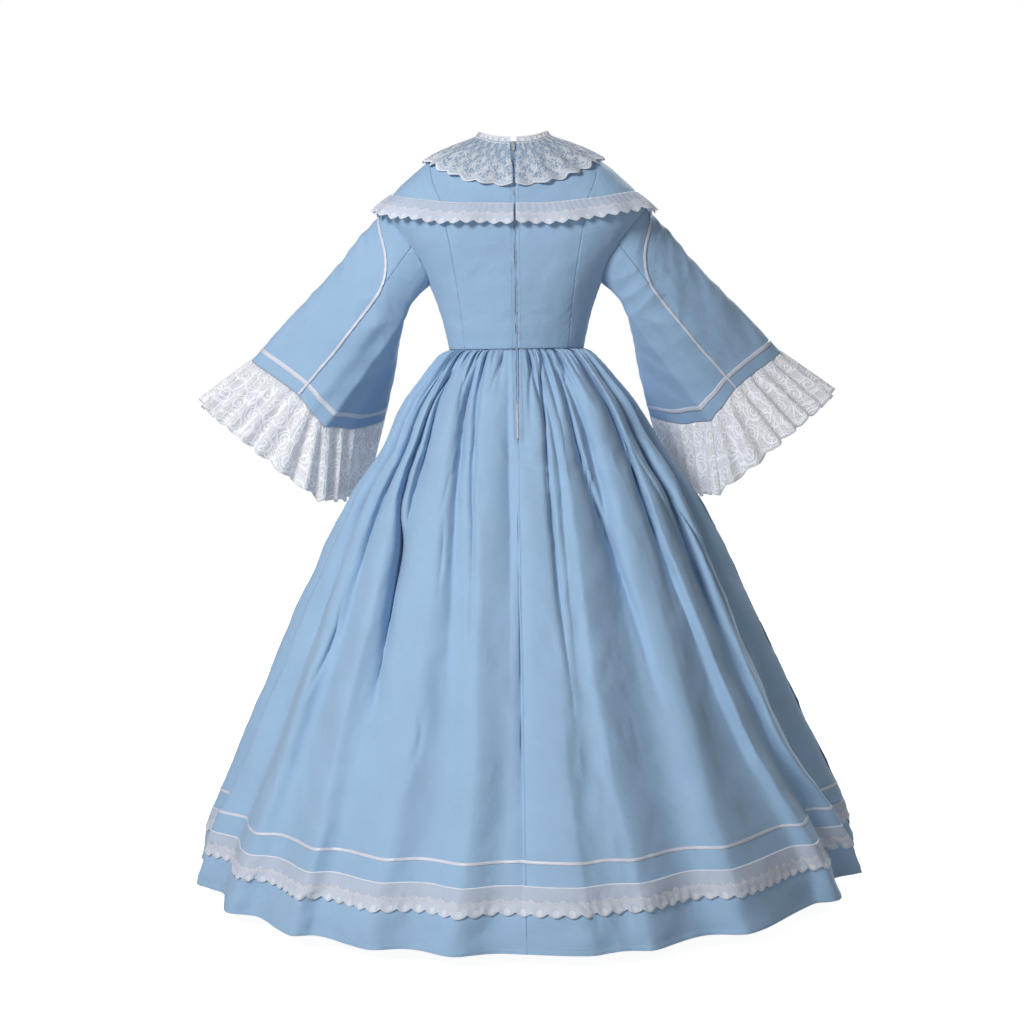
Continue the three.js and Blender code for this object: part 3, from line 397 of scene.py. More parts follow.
def tucks_at(phases, z):
    """How far the gathers of the waist seam draw the cloth in."""
    degrees = phase_azimuth(phases, np.array([-370.0]))[0][0]
    pick = np.random.default_rng(11)
    small = [
        (azimuth + pick.uniform(-1, 1), pick.uniform(0.6, 1.0), pick.uniform(3.5, 8), pick.uniform(14, 50))
        for azimuth in np.arange(-90, 270, 3.7)
    ]
    front = [
        (azimuth, pick.uniform(1.4, 2.8), pick.uniform(5, 9), pick.uniform(45, 120))
        for azimuth in np.arange(96, 268, 11.5)
    ]
    down = (WAIST_Z - z)[:, None]
    total = np.zeros((len(z), len(phases)))
    for azimuth, width, depth, length in [*TUCKS, *front, *small]:
        if -1.5 < azimuth < 3.5:
            continue
        lean = 1 + 0.9 * down / 150
        away = (degrees - azimuth + 180) % 360 - 180
        hump = 1.9 * depth * np.exp(-np.abs(away / (0.8 * width * lean)) ** 1.4 - (down / length) ** 2)
        total = np.maximum(total, hump)
    return total * (1 - np.exp(-down / 3))


def crease_list():
    """The creases of the back, and like ones of other lengths and leans round the front."""
    pick = np.random.default_rng(17)
    front = []
    for azimuth in np.arange(108, 262, 13.0):
        start = azimuth + pick.uniform(-3, 3)
        lean = (azimuth - 180) * pick.uniform(0.02, 0.06) + pick.uniform(-2, 2)
        top, length = -348 - pick.uniform(0, 90), pick.uniform(160, 560)
        path = [(top, start), (top - length / 2, start + lean), (top - length, start + lean * 1.4)]
        front.append((pick.choice([-1, 1]), path, (3.5, 3.5 + length / 30), pick.uniform(14, 34), 0.4))
    return [*CREASES, *front]


def creases_at(phases, z):
    """How far the listed creases draw the cloth in."""
    degrees = phase_azimuth(phases, z)[0]
    around = np.radians(profile(1, z))[:, None]
    total = np.zeros(degrees.shape)
    for steep, path, (top, bottom), depth, deepest in crease_list():
        path = sorted(path, reverse=True)
        heights, azimuths = [p[0] for p in path], [p[1] for p in path]
        share = np.clip((heights[0] - z) / (heights[0] - heights[-1]), 0, 1)
        bent = share ** (math.log(0.5) / math.log(deepest))
        hump = depth * np.sin(np.pi * bent)
        away = ((degrees - smooth(heights, azimuths, z)[:, None] + 180) % 360 - 180) * around
        size = between(top, bottom, share)[:, None]
        width = size * np.where(away * steep > 0, 0.35, 1 + 0.6 * abs(steep))
        trench = np.exp(-np.abs(away / (2 + size * 0.32)) ** 1.4) if steep else 0
        total = np.maximum(total, hump[:, None] * (0.65 * np.exp(-np.abs(away / width) ** 1.25) + 0.55 * trench))
    return total


def skirt_points(phases, z):
    folds = all_folds()
    index = np.floor(phases + 1e-9).astype(int)
    part = phases - index
    azimuth, width = phase_azimuth(phases, z)
    azimuth = np.radians(azimuth)
    index = index % len(folds)
    settle = ease(-z, -WAIST_Z, 650)[:, None]
    deep = np.array([folds[i][1] for i in index])
    at_waist = np.array([folds[i][2] for i in index])
    dip = between(at_waist, deep, settle) * np.minimum(1, width / 14)
    from_zip = np.abs(azimuth) * profile(2, z)[:, None]
    placket = (1 - ease(from_zip, PLACKET_HALF, PLACKET_HALF + 6)) * ease(z, ZIP_END_Z - 30, ZIP_END_Z)[:, None]
    part = between(part, SEAM_PHASE % 1, placket)
    low = ease(-z, 560, 1000)[:, None]
    sharp_valley = np.exp(-(np.abs(part - 0.5) / 0.17) ** 1.3)
    sharp_ridge = np.sin(np.pi * part) ** 1.6
    boost = 1 + 0.7 * (ease(-z, 345, 420) * (1 - ease(-z, 560, 800)))[:, None]
    valley = profile(4, z)[:, None] * dip * boost * between(sharp_valley, sharp_ridge, low)
    gathers = (np.exp((z - WAIST_Z) / 90) * (1 - np.exp((z - WAIST_Z) / 8)))[:, None]
    flat = np.where(np.abs(phases - SEAM_PHASE) < 1, 0.2, 1)
    gathered = flat * 2.6 * gathers * (1 - np.cos(4 * np.pi * part)) + tucks_at(phases, z)
    inward = valley + (gathered + creases_at(phases, z)) * (1 - placket)
    c = np.cos(azimuth)
    facing = np.where(c > 0, 1 - ease(np.abs(np.sin(azimuth)), 0.75, 0.99), 0)
    centred = np.clip(1 - np.abs(phases - SEAM_PHASE) * 5, 0, 1)
    x = (profile(1, z)[:, None] - inward * (1 - facing)) * np.sin(azimuth)
    x = x + SKIRT_OFF_CENTRE * settle * (1 - centred)
    depth = np.where(c > 0, profile(2, z)[:, None], profile(3, z)[:, None])
    y = depth * c - inward * between(c, 1, facing)
    return np.stack([x, y, np.broadcast_to(z[:, None], x.shape)], -1)


def skirt_surface(phases, z):
    """The skirt's outer side with its soft creases."""
    points = skirt_points(phases, z)
    u = phases[None, :] * FOLD_RUN
    v = z[:, None] + np.zeros_like(u)
    calm = ease(-v, 350, 520)
    wave = 1.5 * ripple(u, v * 0.45, 3, 70) + 0.7 * creased(u, v * 0.6, 5, 60)
    near_hem = ease(-v, 1080, -HEM_Z)
    wave = wave + near_hem * (1.2 * ripple(u, v, 7, 42) + 0.6 * creased(u, v, 9, 36))
    return points + normals_of(points) * (wave * calm)[..., None]


# Sleeves


def through(points, places, closed):
    """Centripetal curve through points (..., n, 3) at places from 0 to 1."""
    n = points.shape[-2]
    if closed:
        padded = np.concatenate([points[..., -1:, :], points, points[..., :2, :]], -2)
        t = np.asarray(places, float) % 1 * n
        i = np.minimum(np.floor(t).astype(int), n - 1)
    else:
        first = 2 * points[..., :1, :] - points[..., 1:2, :]
        last = 2 * points[..., -1:, :] - points[..., -2:-1, :]
        padded = np.concatenate([first, points, last], -2)
        t = np.asarray(places, float) * (n - 1)
        i = np.minimum(np.floor(t).astype(int), n - 2)
    w = (t - i)[..., None]
    p0, p1, p2, p3 = (padded[..., i + k, :] for k in range(4))
    d0, d1, d2 = (
        np.sqrt(np.maximum(np.linalg.norm(b - a, axis=-1, keepdims=True), 1e-6))
        for a, b in ((p0, p1), (p1, p2), (p2, p3))
    )
    t1 = ((p1 - p0) / d0 - (p2 - p0) / (d0 + d1) + (p2 - p1) / d1) * d1
    t2 = ((p2 - p1) / d1 - (p3 - p1) / (d1 + d2) + (p3 - p2) / d2) * d1
    return p1 + t1 * w + (3 * (p2 - p1) - 2 * t1 - t2) * w**2 + (2 * (p1 - p2) + t1 + t2) * w**3


def round_sleeve(points, columns):
    """Values round the sleeve at columns, from those on its six lines."""
    starts = np.array([line[0] for line in SLEEVE_LINES])
    ends = np.append(starts[1:], SLEEVE_COLUMNS)
    wrapped = np.asarray(columns, float) % SLEEVE_COLUMNS
    i = np.searchsorted(starts, wrapped, side="right") - 1
    part = (wrapped - starts[i]) / (ends[i] - starts[i])
    return through(points, (i + part) / len(starts), True)


def sleeve_lines(shares):
    lines = []
    for column, points, _ in SLEEVE_LINES:
        start = bodice_point(*armhole(1 - column / SLEEVE_COLUMNS))
        lines.append(through(np.array([start, *points], float), shares, False))
    return np.stack(lines, -2)


def armhole_out():
    along = unit(bodice_point(math.pi / 2, UNDERARM) - bodice_point(math.pi / 2, SHOULDER_END))
    return np.array([-along[2], 0, along[0]])


def sleeve_points(columns, shares):
    columns, shares = np.asarray(columns, float), np.asarray(shares, float)
    on_lines = round_sleeve(sleeve_lines(shares), columns)
    start = round_sleeve(sleeve_lines(np.array([0.0])), columns)
    turn = 1 - (columns % SLEEVE_COLUMNS) / SLEEVE_COLUMNS
    fit = bodice_point(*armhole(turn)) - start[0]
    fade = (np.maximum(0, 1 - shares / 0.3) ** 2)[:, None, None]
    away = columns % SLEEVE_COLUMNS - SLEEVE_FOLD
    ends = round_sleeve(sleeve_lines(shares), SLEEVE_FOLD + np.array([-1.4, 0, 1.4]))
    near = np.clip(np.abs(away) / 1.4, 0, 1)[None, :, None]
    end = np.where(away[None, :, None] < 0, ends[:, :1], ends[:, 2:])
    straight = between(ends[:, 1:2], end, near)
    crisp = (1 - ease(near, 0.4, 1)) * ease(shares, 0.3, 0.6)[:, None, None]
    return between(on_lines, straight, crisp) + fit * fade + armhole_out() * ARMHOLE_GAP


def sleeve_surface(columns, shares):
    points = sleeve_points(columns, shares)
    turn = np.asarray(columns, float)[None, :] % SLEEVE_COLUMNS / SLEEVE_COLUMNS * 2 * math.pi
    v = np.asarray(shares, float)[:, None] * SLEEVE_RUN
    a, b = SLEEVE_RADIUS * np.cos(turn), SLEEVE_RADIUS * np.sin(turn)
    wave = 0.9 * ripple(a + v * 0.3, b + v, 21, 75) + 0.6 * creased(a - v * 0.5, b + v, 23, 80)
    calm = ease(v, 6, 70) * (1 - ease(v, 340, SLEEVE_RUN) * 0.6)
    return points + normals_of(points) * (wave * calm)[..., None]


# Cloth meshes


def sewn(points, sides, depth, pucker=0.3, pitch=15.0):
    """Turns the named sides in as at a seam, with small puckers beside it. Also gives how far
    each point lies from the nearest of those sides."""
    normals = normals_of(points)
    across, down = run_across(points), run_down(points)
    reach = {
        "left": across, "right": across[:, -1:] - across,
        "top": down, "bottom": down[-1:] - down,
    }
    along = {"left": down, "right": down, "top": across, "bottom": across}
    moved, nearest = points, np.full(points.shape[:2], 99.0)
    for side in sides:
        wander = 1.3 * ripple(along[side], 0, len(side), 60)
        wave = np.sin(along[side] * 2 * math.pi / pitch + wander * 2)
        lift = pucker * wave * np.exp(-reach[side] / 7) - depth * np.exp(-((reach[side] / SEAM_WIDTH) ** 1.5))
        moved = moved + normals * lift[..., None]
        nearest = np.minimum(nearest, reach[side])
    return moved, nearest


def cut_map(points, middle=0.0):
    """Places on the flat cloth: across from a share of the row, and down."""
    across, down = run_across(points), run_down(points)
    return flat_places(across - across[:, -1:] * middle, down.mean(1, keepdims=True))


def placed(name, data):
    thing = bpy.data.objects.new(name, data)
    bpy.context.scene.collection.objects.link(thing)
    return thing


def quads(index):
    return np.stack([index[:-1, :-1], index[:-1, 1:], index[1:, 1:], index[1:, :-1]], -1).reshape(-1, 4)


def cloth(name, points, cut, wall, material, closed=False, seam=None):
    """Mesh of a sheet whose rows run down and columns across, in the part's frame."""
    index = np.arange(points.shape[0] * points.shape[1]).reshape(points.shape[:2])
    if closed:
        index = np.concatenate([index, index[:, :1]], 1)
    mesh = bpy.data.meshes.new(name)
    mesh.from_pydata((points.reshape(-1, 3) * MM).tolist(), [], quads(index).tolist())
    corners = quads(np.arange(cut.shape[0] * cut.shape[1]).reshape(cut.shape[:2]))
    layer = mesh.uv_layers.new(name="cut")
    layer.data.foreach_set("uv", cut.reshape(-1, 2)[corners.reshape(-1)].astype(np.float32).ravel())
    if seam is not None:
        data = mesh.attributes.new("seam", "FLOAT", "POINT")
        data.data.foreach_set("value", (seam.reshape(-1) * MM).astype(np.float32))
    mesh.shade_smooth()
    mesh.materials.append(material)
    piece = placed(name, mesh)
    shell = piece.modifiers.new("wall", "SOLIDIFY")
    shell.thickness = wall * MM
    shell.offset = -1
    return piece


def dress(piece, nodes):
    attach(piece, "gown")
    if nodes:
        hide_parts(*nodes)
    return piece


# Finishes


class Signal:
    """A number that varies over a surface, so that shader sums read as plain arithmetic."""

    def __init__(self, finish, socket):
        self.finish = finish
        self.socket = socket

    def maths(self, operation, *values):
        return self.finish.add("ShaderNodeMath", dict(enumerate(values)), operation=operation)

    def __add__(self, other):
        return self.maths("ADD", self, other)

    def __radd__(self, other):
        return self.maths("ADD", other, self)

    def __sub__(self, other):
        return self.maths("SUBTRACT", self, other)

    def __rsub__(self, other):
        return self.maths("SUBTRACT", other, self)

    def __mul__(self, other):
        return self.maths("MULTIPLY", self, other)

    def __rmul__(self, other):
        return self.maths("MULTIPLY", other, self)

    def __truediv__(self, other):
        return self.maths("DIVIDE", self, other)

    def __pow__(self, other):
        return self.maths("POWER", self, other)

    def __abs__(self):
        return self.maths("ABSOLUTE", self)

    def sine(self):
        return self.maths("SINE", self)

    def cosine(self):
        return self.maths("COSINE", self)

    def root(self):
        return self.maths("SQRT", self)

    def fraction(self):
        return self.maths("FRACT", self)

    def floor(self):
        return self.maths("FLOOR", self)

    def least(self, other):
        return self.maths("MINIMUM", self, other)

    def most(self, other):
        return self.maths("MAXIMUM", self, other)

    def angle(self, across):
        return self.maths("ARCTAN2", self, across)

    def fade(self, low, high):
        """0 at low, 1 at high, and smooth between them."""
        limits = {"Value": self, "From Min": low, "From Max": high}
        return self.finish.add("ShaderNodeMapRange", limits, interpolation_type="SMOOTHSTEP")

    def within(self, low, high):
        """1 up to low, 0 from high on, and smooth between them."""
        return 1 - self.fade(low, high)

    def wave(self, length):
        return (self * (2 * math.pi / length)).sine()

    def repeat(self, pitch, shift=0.0):
        """Distance from the middle of a cell, for cells a pitch wide side by side."""
        return ((self / pitch + shift).fraction() - 0.5) * pitch


class Nodes:
    """A tree of shader nodes, and the one way of adding to it."""

    def __init__(self, tree):
        self.tree = tree

    def add(self, kind, values=None, output=0, **settings):
        node = self.tree.nodes.new(kind)
        for key, value in settings.items():
            setattr(node, key, value)
        for key, value in (values or {}).items():
            self.feed(node.inputs[key], value)
        return Signal(self, node.outputs[output])

    def feed(self, socket, value):
        if isinstance(value, Signal):
            self.tree.links.new(value.socket, socket)
        else:
            socket.default_value = value


class Finish(Nodes):
    """A material under way, and the nodes that it is mixed from."""

    def __init__(self, name, **constants):
        self.material = bpy.data.materials.new(name)
        self.material.use_nodes = True
        super().__init__(self.material.node_tree)
        self.surface = self.tree.nodes["Principled BSDF"]
        self.into(**constants)

    def into(self, **values):
        for socket, value in values.items():
            self.feed(self.surface.inputs[socket.replace("_", " ")], value)

    def cut(self):
        """Places across and down the flat cloth, in metres."""
        places = self.add("ShaderNodeUVMap", uv_map="cut")
        parts = self.add("ShaderNodeSeparateXYZ", {0: places})
        return parts, Signal(self, parts.socket.node.outputs[1]), places

    def seam(self):
        return self.add("ShaderNodeAttribute", output=2, attribute_name="seam", attribute_type="GEOMETRY")

    def noise(self, places, scale, detail):
        return self.add("ShaderNodeTexNoise", {"Vector": places, "Scale": scale, "Detail": detail})

    def cells(self, places, scale, randomness=1.0):
        """Distance from the borders of cells scattered over the cloth."""
        values = {"Vector": places, "Scale": scale, "Randomness": randomness}
        return self.add("ShaderNodeTexVoronoi", values, feature="DISTANCE_TO_EDGE")

    def stretched(self, places, x, y):
        return self.add("ShaderNodeMapping", {"Vector": places, "Scale": (x, y, 1)})

    def mix(self, factor, a, b):
        """Colour from a to b."""
        node = self.add("ShaderNodeMix", data_type="RGBA").socket.node
        colours = [socket for socket in node.inputs if socket.type == "RGBA"]
        self.feed(node.inputs[0], factor)
        self.feed(colours[0], a)
        self.feed(colours[1], b)
        return Signal(self, next(socket for socket in node.outputs if socket.type == "RGBA"))

    def bump(self, height, distance, strength, under=None):
        values = {"Height": height, "Distance": distance, "Strength": strength}
        if under is not None:
            values["Normal"] = under
        return self.add("ShaderNodeBump", values)


def shade(colour, factor):
    return (*(min(1, c * factor) for c in colour[:3]), 1)


def weave(finish, u, v, pitch):
    """Plain weave: threads across and down that pass over and under each other."""
    warp, weft = u.wave(pitch), v.wave(pitch)
    return (warp * weft) * 0.5 + (abs(warp) + abs(weft)) * 0.25


def cotton_finish(colour, inner):
    finish = Finish("pale_blue_cotton", Roughness=0.82, Sheen_Weight=0.25, Sheen_Roughness=0.45)
    u, v, places = finish.cut()
    slub = finish.noise(finish.stretched(places, 60, 900), 1.0, 2) * 0.5
    slub = slub + finish.noise(finish.stretched(places, 900, 60), 1.0, 2) * 0.5
    cloudy = finish.noise(places, 9.0, 3)
    tone = finish.mix(cloudy.fade(0.3, 0.7), shade(colour, 0.96), shade(colour, 1.03))
    tone = finish.mix(slub.fade(0.35, 0.65) * 0.35, tone, shade(colour, 0.9))
    # Painted shade: beside each seam the cotton is mixed up to a fifth of the way towards the seam shade colour
    # (inner), as if shaded down in the seam.
    seam_shade_mask = finish.seam().within(0.0004, 0.0018)
    tone = finish.mix(seam_shade_mask * 0.2, tone, inner)
    threads = weave(finish, u, v, 0.0009)
    soft = finish.noise(places, 22.0, 4)
    fine = finish.noise(places, 120.0, 3)
    normal = finish.bump(soft, 0.006, 0.5)
    normal = finish.bump(fine, 0.0006, 0.25, normal)
    normal = finish.bump(threads, 0.00012, 0.4, normal)
    finish.into(Base_Color=tone, Roughness=0.78 + cloudy * 0.1, Normal=normal)
    return finish.material


def satin_finish(colour):
    finish = Finish("white_satin", Roughness=0.34, Sheen_Weight=0.2, Sheen_Roughness=0.3)
    u, v, places = finish.cut()
    ribs = u.wave(0.0006) * 0.5 + 0.5
    selvedge = abs(v - 0.003).fade(0.0021, 0.0027)
    streaks = finish.noise(finish.stretched(places, 60, 700), 1.0, 3)
    tone = finish.mix(streaks.fade(0.3, 0.7), shade(colour, 0.9), colour)
    tone = finish.mix(selvedge * 0.5, tone, shade(colour, 0.82))
    pucker = finish.noise(finish.stretched(places, 170, 60), 1.0, 2)
    normal = finish.bump(pucker, 0.0012, 0.5)
    normal = finish.bump(ribs * 0.3 + selvedge, 0.0002, 0.5, normal)
    finish.into(Base_Color=tone, Roughness=streaks * 0.2 + 0.25, Normal=normal)
    return finish.material


def scallop_place(u, pitch):
    """Place across a scallop, for a finish: 0 in its middle and 1 at either end."""
    return abs((u / pitch).fraction() * 2 - 1)


def edge_distance(t, v, depth, height):
    """Distance from the scalloped edge, for a finish: the same curve that the mesh follows."""
    return height - (t + 0.0001) ** SCALLOP_CURVE * depth - v


def eyelet_finish(name, settings, border, peak):
    """Sheer cotton with an eyelet border: festoons of holes, an oval in each scallop, bound edge."""
    colour, sheer = tuple(settings.colour), tuple(settings.sheer)
    pitch, depth, height = border
    finish = Finish(name, Roughness=0.85, Sheen_Weight=0.15, Sheen_Roughness=0.4)
    u, v, places = finish.cut()
    t = scallop_place(u, pitch)
    bound = edge_distance(t, v, depth, height).within(0.0011, 0.0017)
    line = peak - (t + 0.0001) ** SCALLOP_CURVE * depth * 0.8
    upper, under = (
        ((v - (line + row)) ** 2 + u.repeat(0.0033, row * 156) ** 2).root() for row in (0.0, 0.0032)
    )
    hole = upper.within(0.0007, 0.0011).most(under.within(0.0007, 0.0011))
    ring = upper.within(0.0013, 0.0017).most(under.within(0.0013, 0.0017))
    across = t * (pitch / 2)
    oval = ((across / 0.0036) ** 2 + ((v - (height - 0.0072)) / 0.0042) ** 2).root()
    band = abs(oval - 1).within(0.1, 0.24).most(abs(oval - 0.3).within(0.12, 0.26))
    crown = (across + abs(v - (peak - 0.0009)) * 0.9).within(0.0013, 0.0024)
    worked = bound.most(ring).most(band * 0.7).most(crown)
    lower = (v - (line - 0.0012)).fade(0.0, 0.0006)
    fold = v.within(0.0014, 0.0022)
    opaque = (worked * 0.8 + lower * 0.26 + fold * 0.8).least(1.0)
    alpha = (0.48 + opaque * 0.52 + finish.noise(places, 40, 3) * 0.08) * (1 - hole * 0.85)
    tone = finish.mix(opaque, sheer, colour)
    # Painted shade: what little cover the holes keep is painted at half the sheer colour, as the shaded cotton seen
    # through them.
    tone = finish.mix(hole, tone, shade(sheer, 0.5))
    normal = finish.bump(finish.noise(places, 70, 3), 0.0008, 0.3)
    normal = finish.bump(bound.most(crown) + fold * 0.8, 0.00025, 0.4, normal)
    normal = finish.bump(weave(finish, u, v, 0.0008), 0.0001, 0.4, normal)
    finish.into(Base_Color=tone, Alpha=alpha.least(1.0), Normal=normal)
    return finish.material


def half_drop(u, v, across, down, shift=0.0):
    """Distance and angle from the middle of a repeat whose columns are dropped by half."""
    column = (u / across + shift).floor()
    x, y = u.repeat(across, shift), v.repeat(down, column * 0.5)
    return (x**2 + y**2).root(), y.angle(x)


def wobbled(finish, u, v, places, scale, reach):
    """The same places, led a little astray, so that drawn lines look hand guided."""
    a = finish.noise(places, scale, 1)
    b = finish.noise(finish.add("ShaderNodeMapping", {"Vector": places, "Location": (3.1, 7.7, 0)}), scale, 1)
    return u + (a - 0.5) * reach, v + (b - 0.5) * reach


def corded_finish(colour, border):
    """Corded lace: scrolls, ringed blooms and leaves on a close ground, with a bound edge."""
    pitch, depth, height = border
    # Painted light: the lace glows faintly with its own colour (emission strength 0.16, colour fed below), to
    # brighten it where it lies in shade.
    finish = Finish("white_corded_lace", Roughness=0.8, Sheen_Weight=0.2, Sheen_Roughness=0.4, Emission_Strength=0.16)
    u, v, places = finish.cut()
    edge = edge_distance(scallop_place(u, pitch), v, depth, height)
    uu, vv = wobbled(finish, u, v, places, 34, 0.012)
    r, turn = half_drop(uu, vv, pitch * 0.62, 0.054)
    spiral = (turn + r * (2 * math.pi / 0.0085)).sine()
    scroll = spiral.fade(0.1, 0.7) * r.within(0.0155, 0.018)
    rim = abs(r - 0.0170).within(0.0006, 0.0016)
    r, turn = half_drop(uu, vv, pitch * 0.62, 0.054, 0.5)
    petals = r - ((turn * 6).cosine() * 0.0019 + 0.0062)
    bloom = abs(petals).within(0.0004, 0.0011).most(r.within(0.0015, 0.0021))
    veins = (turn * 11 + r * 900).sine().fade(0.2, 0.8) * petals.fade(0.0008, 0.0016) * r.within(0.012, 0.015)
    net = finish.cells(places, 260.0, 0.7).within(0.03, 0.16)
    stem = finish.cells(finish.stretched(places, 1.0, 0.55), 48.0).within(0.02, 0.09)
    bound = edge.within(0.0016, 0.0026)
    beads = abs(edge - 0.0045).within(0.0004, 0.0012)
    cord = scroll.most(rim).most(bloom).most(veins * 0.7).most(stem * 0.8).most(bound).most(beads * 0.7)
    alpha = (0.8 + net * 0.2 + cord * 0.4).least(1.0)
    # Painted shade: away from the cords the lace is painted down to 0.72 of its colour (0.82 on the net), as shade in
    # the hollows between the raised cords.
    tone = finish.mix(cord, shade(colour, 0.72), shade(colour, 0.93))
    tone = finish.mix(net * (1 - cord) * 0.4, tone, shade(colour, 0.82))
    normal = finish.bump(finish.noise(places, 90, 2), 0.001, 0.4)
    normal = finish.bump(cord, 0.0011, 0.9, normal)
    normal = finish.bump(net, 0.0002, 0.6, normal)
    # Emission Color carries the painted glow of the lace.
    finish.into(Base_Color=tone, Emission_Color=tone, Alpha=alpha, Normal=normal)
    return finish.material


def net_finish(colour, border):
    """Sheer net lace: an airy top, blooms and sprays that crowd towards the corded scallops."""
    pitch, depth, height = border
    finish = Finish("white_net_lace", Roughness=0.8, Sheen_Weight=0.15, Sheen_Roughness=0.4)
    u, v, places = finish.cut()
    edge = edge_distance(scallop_place(u, pitch), v, depth, height)
    uu, vv = wobbled(finish, u, v, places, 55, 0.007)
    r, turn = half_drop(uu, vv, pitch * 0.5, 0.031)
    petals = r - ((turn * 5).cosine() * 0.0024 + 0.0066)
    bloom = petals.within(-0.0004, 0.0004) * 0.75
    outline = abs(petals).within(0.0004, 0.0009).most(abs(r - 0.0022).within(0.0004, 0.0009))
    hatch = ((turn * 15).sine() * 0.5 + 0.5) * bloom
    lower = v.fade(height * 0.3, height * 0.62)
    sprays = finish.cells(finish.stretched(places, 1.0, 0.8), 165.0).within(0.03, 0.15)
    spray = sprays * (lower * 0.5 + 0.12)
    net = finish.cells(places, 620.0, 0.25).within(0.02, 0.14)
    band = edge.within(0.008, 0.0105) * 0.55
    bound = edge.within(0.0016, 0.0024)
    hole = (u.repeat(0.0034) ** 2 + (edge - 0.0052) ** 2).root().within(0.0007, 0.0011)
    heading = v.within(0.0016, 0.0022)
    line = abs(v - 0.0088).within(0.0004, 0.0009)
    worked = (bloom * 0.5 + hatch * 0.4).most(outline).most(spray).most(bound).most(band).most(heading).most(line)
    alpha = (0.22 + net * 0.26 + worked * 0.75).least(0.95) * (1 - hole * 0.8)
    tone = finish.mix(worked, (0.5, 0.62, 0.78, 1), colour)
    normal = finish.bump(worked, 0.0008, 0.9)
    normal = finish.bump(net, 0.0002, 0.5, normal)
    finish.into(Base_Color=tone, Alpha=alpha, Normal=normal)
    return finish.material


def tape_finish(colour):
    finish = Finish("zip_tape_cloth", Roughness=0.8, Sheen_Weight=0.1)
    u, v, places = finish.cut()
    ribs = v.wave(0.0012) * 0.5 + 0.5
    herring = (abs(u) + v).wave(0.002) * 0.5 + 0.5
    tone = finish.mix(finish.noise(places, 200, 2).fade(0.3, 0.7), shade(colour, 0.88), colour)
    finish.into(Base_Color=tone, Normal=finish.bump(ribs * 0.5 + herring * 0.5, 0.0002, 0.7))
    return finish.material


def metal_finish(colour):
    finish = Finish("silvered_metal", Metallic=0.6, Roughness=0.35)
    places = finish.add("ShaderNodeTexCoord", output=3)
    streaks = finish.noise(finish.stretched(places, 900, 90), 1.0, 3)
    wear = finish.noise(places, 700, 4)
    tone = finish.mix(wear.fade(0.45, 0.7), colour, shade(colour, 0.72))
    finish.into(Base_Color=tone, Roughness=streaks * 0.22 + 0.26, Normal=finish.bump(wear, 0.0001, 0.4))
    return finish.material


def thread_finish(colour):
    finish = Finish("sewing_thread", Roughness=0.6, Sheen_Weight=0.2)
    places = finish.add("ShaderNodeTexCoord", output=3)
    fuzz = finish.noise(places, 2500, 2)
    tone = finish.mix(fuzz.fade(0.3, 0.7), shade(colour, 0.85), colour)
    finish.into(Base_Color=tone, Normal=finish.bump(fuzz, 0.0001, 0.5))
    return finish.material


# Settings


def colour_setting(name, description, default):
    return bpy.props.FloatVectorProperty(
        name=name, description=description, subtype="COLOR", size=4, min=0, max=1, default=(*default, 1)
    )


def length_setting(name, description, default):
    return bpy.props.FloatProperty(name=name, description=description, unit="LENGTH", default=default)


def light_setting(name, description, default):
    return bpy.props.FloatProperty(name=name, description=description, default=default)


class ClothSettings(bpy.types.PropertyGroup):
    colour: colour_setting("Cotton", "Colour of the cotton", (0.305, 0.468, 0.668))
    # inner is painted shade: the darker colour mixed into the cotton beside a seam.
    inner: colour_setting("Seam shade", "Colour of the cotton down in a seam", (0.15, 0.28, 0.48))
    wall: length_setting("Cotton thickness", "Thickness of the cotton walls", 0.0012)
    seam_depth: length_setting("Seam depth", "How far a seam sinks into the cotton", 0.0006)


class LaceSettings(bpy.types.PropertyGroup):
    colour: colour_setting("Lace", "Colour of the laces and frills", (0.83, 0.85, 0.90))
    sheer: colour_setting("Sheer cotton", "Colour of the frills' plain cotton", (0.66, 0.73, 0.86))
    wall: length_setting("Lace thickness", "Thickness of the lace and the frills", 0.0007)
    sleeve_scallop: length_setting("Sleeve scallop", "Width of a scallop of the sleeve lace", 0.052)
    collar_scallop: length_setting("Collar scallop", "Width of a scallop of the collar", 0.034)
    frill_scallop: length_setting("Frill scallop", "Width of a scallop of the frills", 0.025)


class TrimSettings(bpy.types.PropertyGroup):
    satin: colour_setting("Satin", "Colour of the satin ribbon", (0.66, 0.69, 0.79))
    tape: colour_setting("Zip tape", "Colour of the zip's tape", (0.60, 0.61, 0.66))
    metal: colour_setting("Zip metal", "Colour of the slider and its pull", (0.80, 0.80, 0.82))
    stitch: length_setting("Stitch", "Length from one stitch to the next", 0.0028)


class StageSettings(bpy.types.PropertyGroup):
    floor: colour_setting("Floor", "Colour of the floor", (0.5, 0.5, 0.5))
    key: light_setting("Key light", "Strength of the main light in watts", 168.0)
    fill: light_setting("Fill light", "Strength of the fill light in watts", 9.0)
    sky: light_setting("Room light", "Strength of the light from all round", 0.16)


SETTINGS = {
    "gown_cloth": ClothSettings,
    "gown_lace": LaceSettings,
    "gown_trim": TrimSettings,
    "gown_stage": StageSettings,
}


def cotton(context):
    settings = context.scene.gown_cloth
    made = bpy.data.materials.get("pale_blue_cotton")
    return made or cotton_finish(tuple(settings.colour), tuple(settings.inner))


def cotton_panel(context, name, points, seam):
    wall = context.scene.gown_cloth.wall / MM
    return dress(cloth(name, points, cut_map(points), wall, cotton(context), seam=seam), [name])


def satin(context):
    return bpy.data.materials.get("white_satin") or satin_finish(tuple(context.scene.gown_trim.satin))


def thread(context):
    return bpy.data.materials.get("sewing_thread") or thread_finish(shade(context.scene.gown_cloth.colour, 0.72))


# Operators


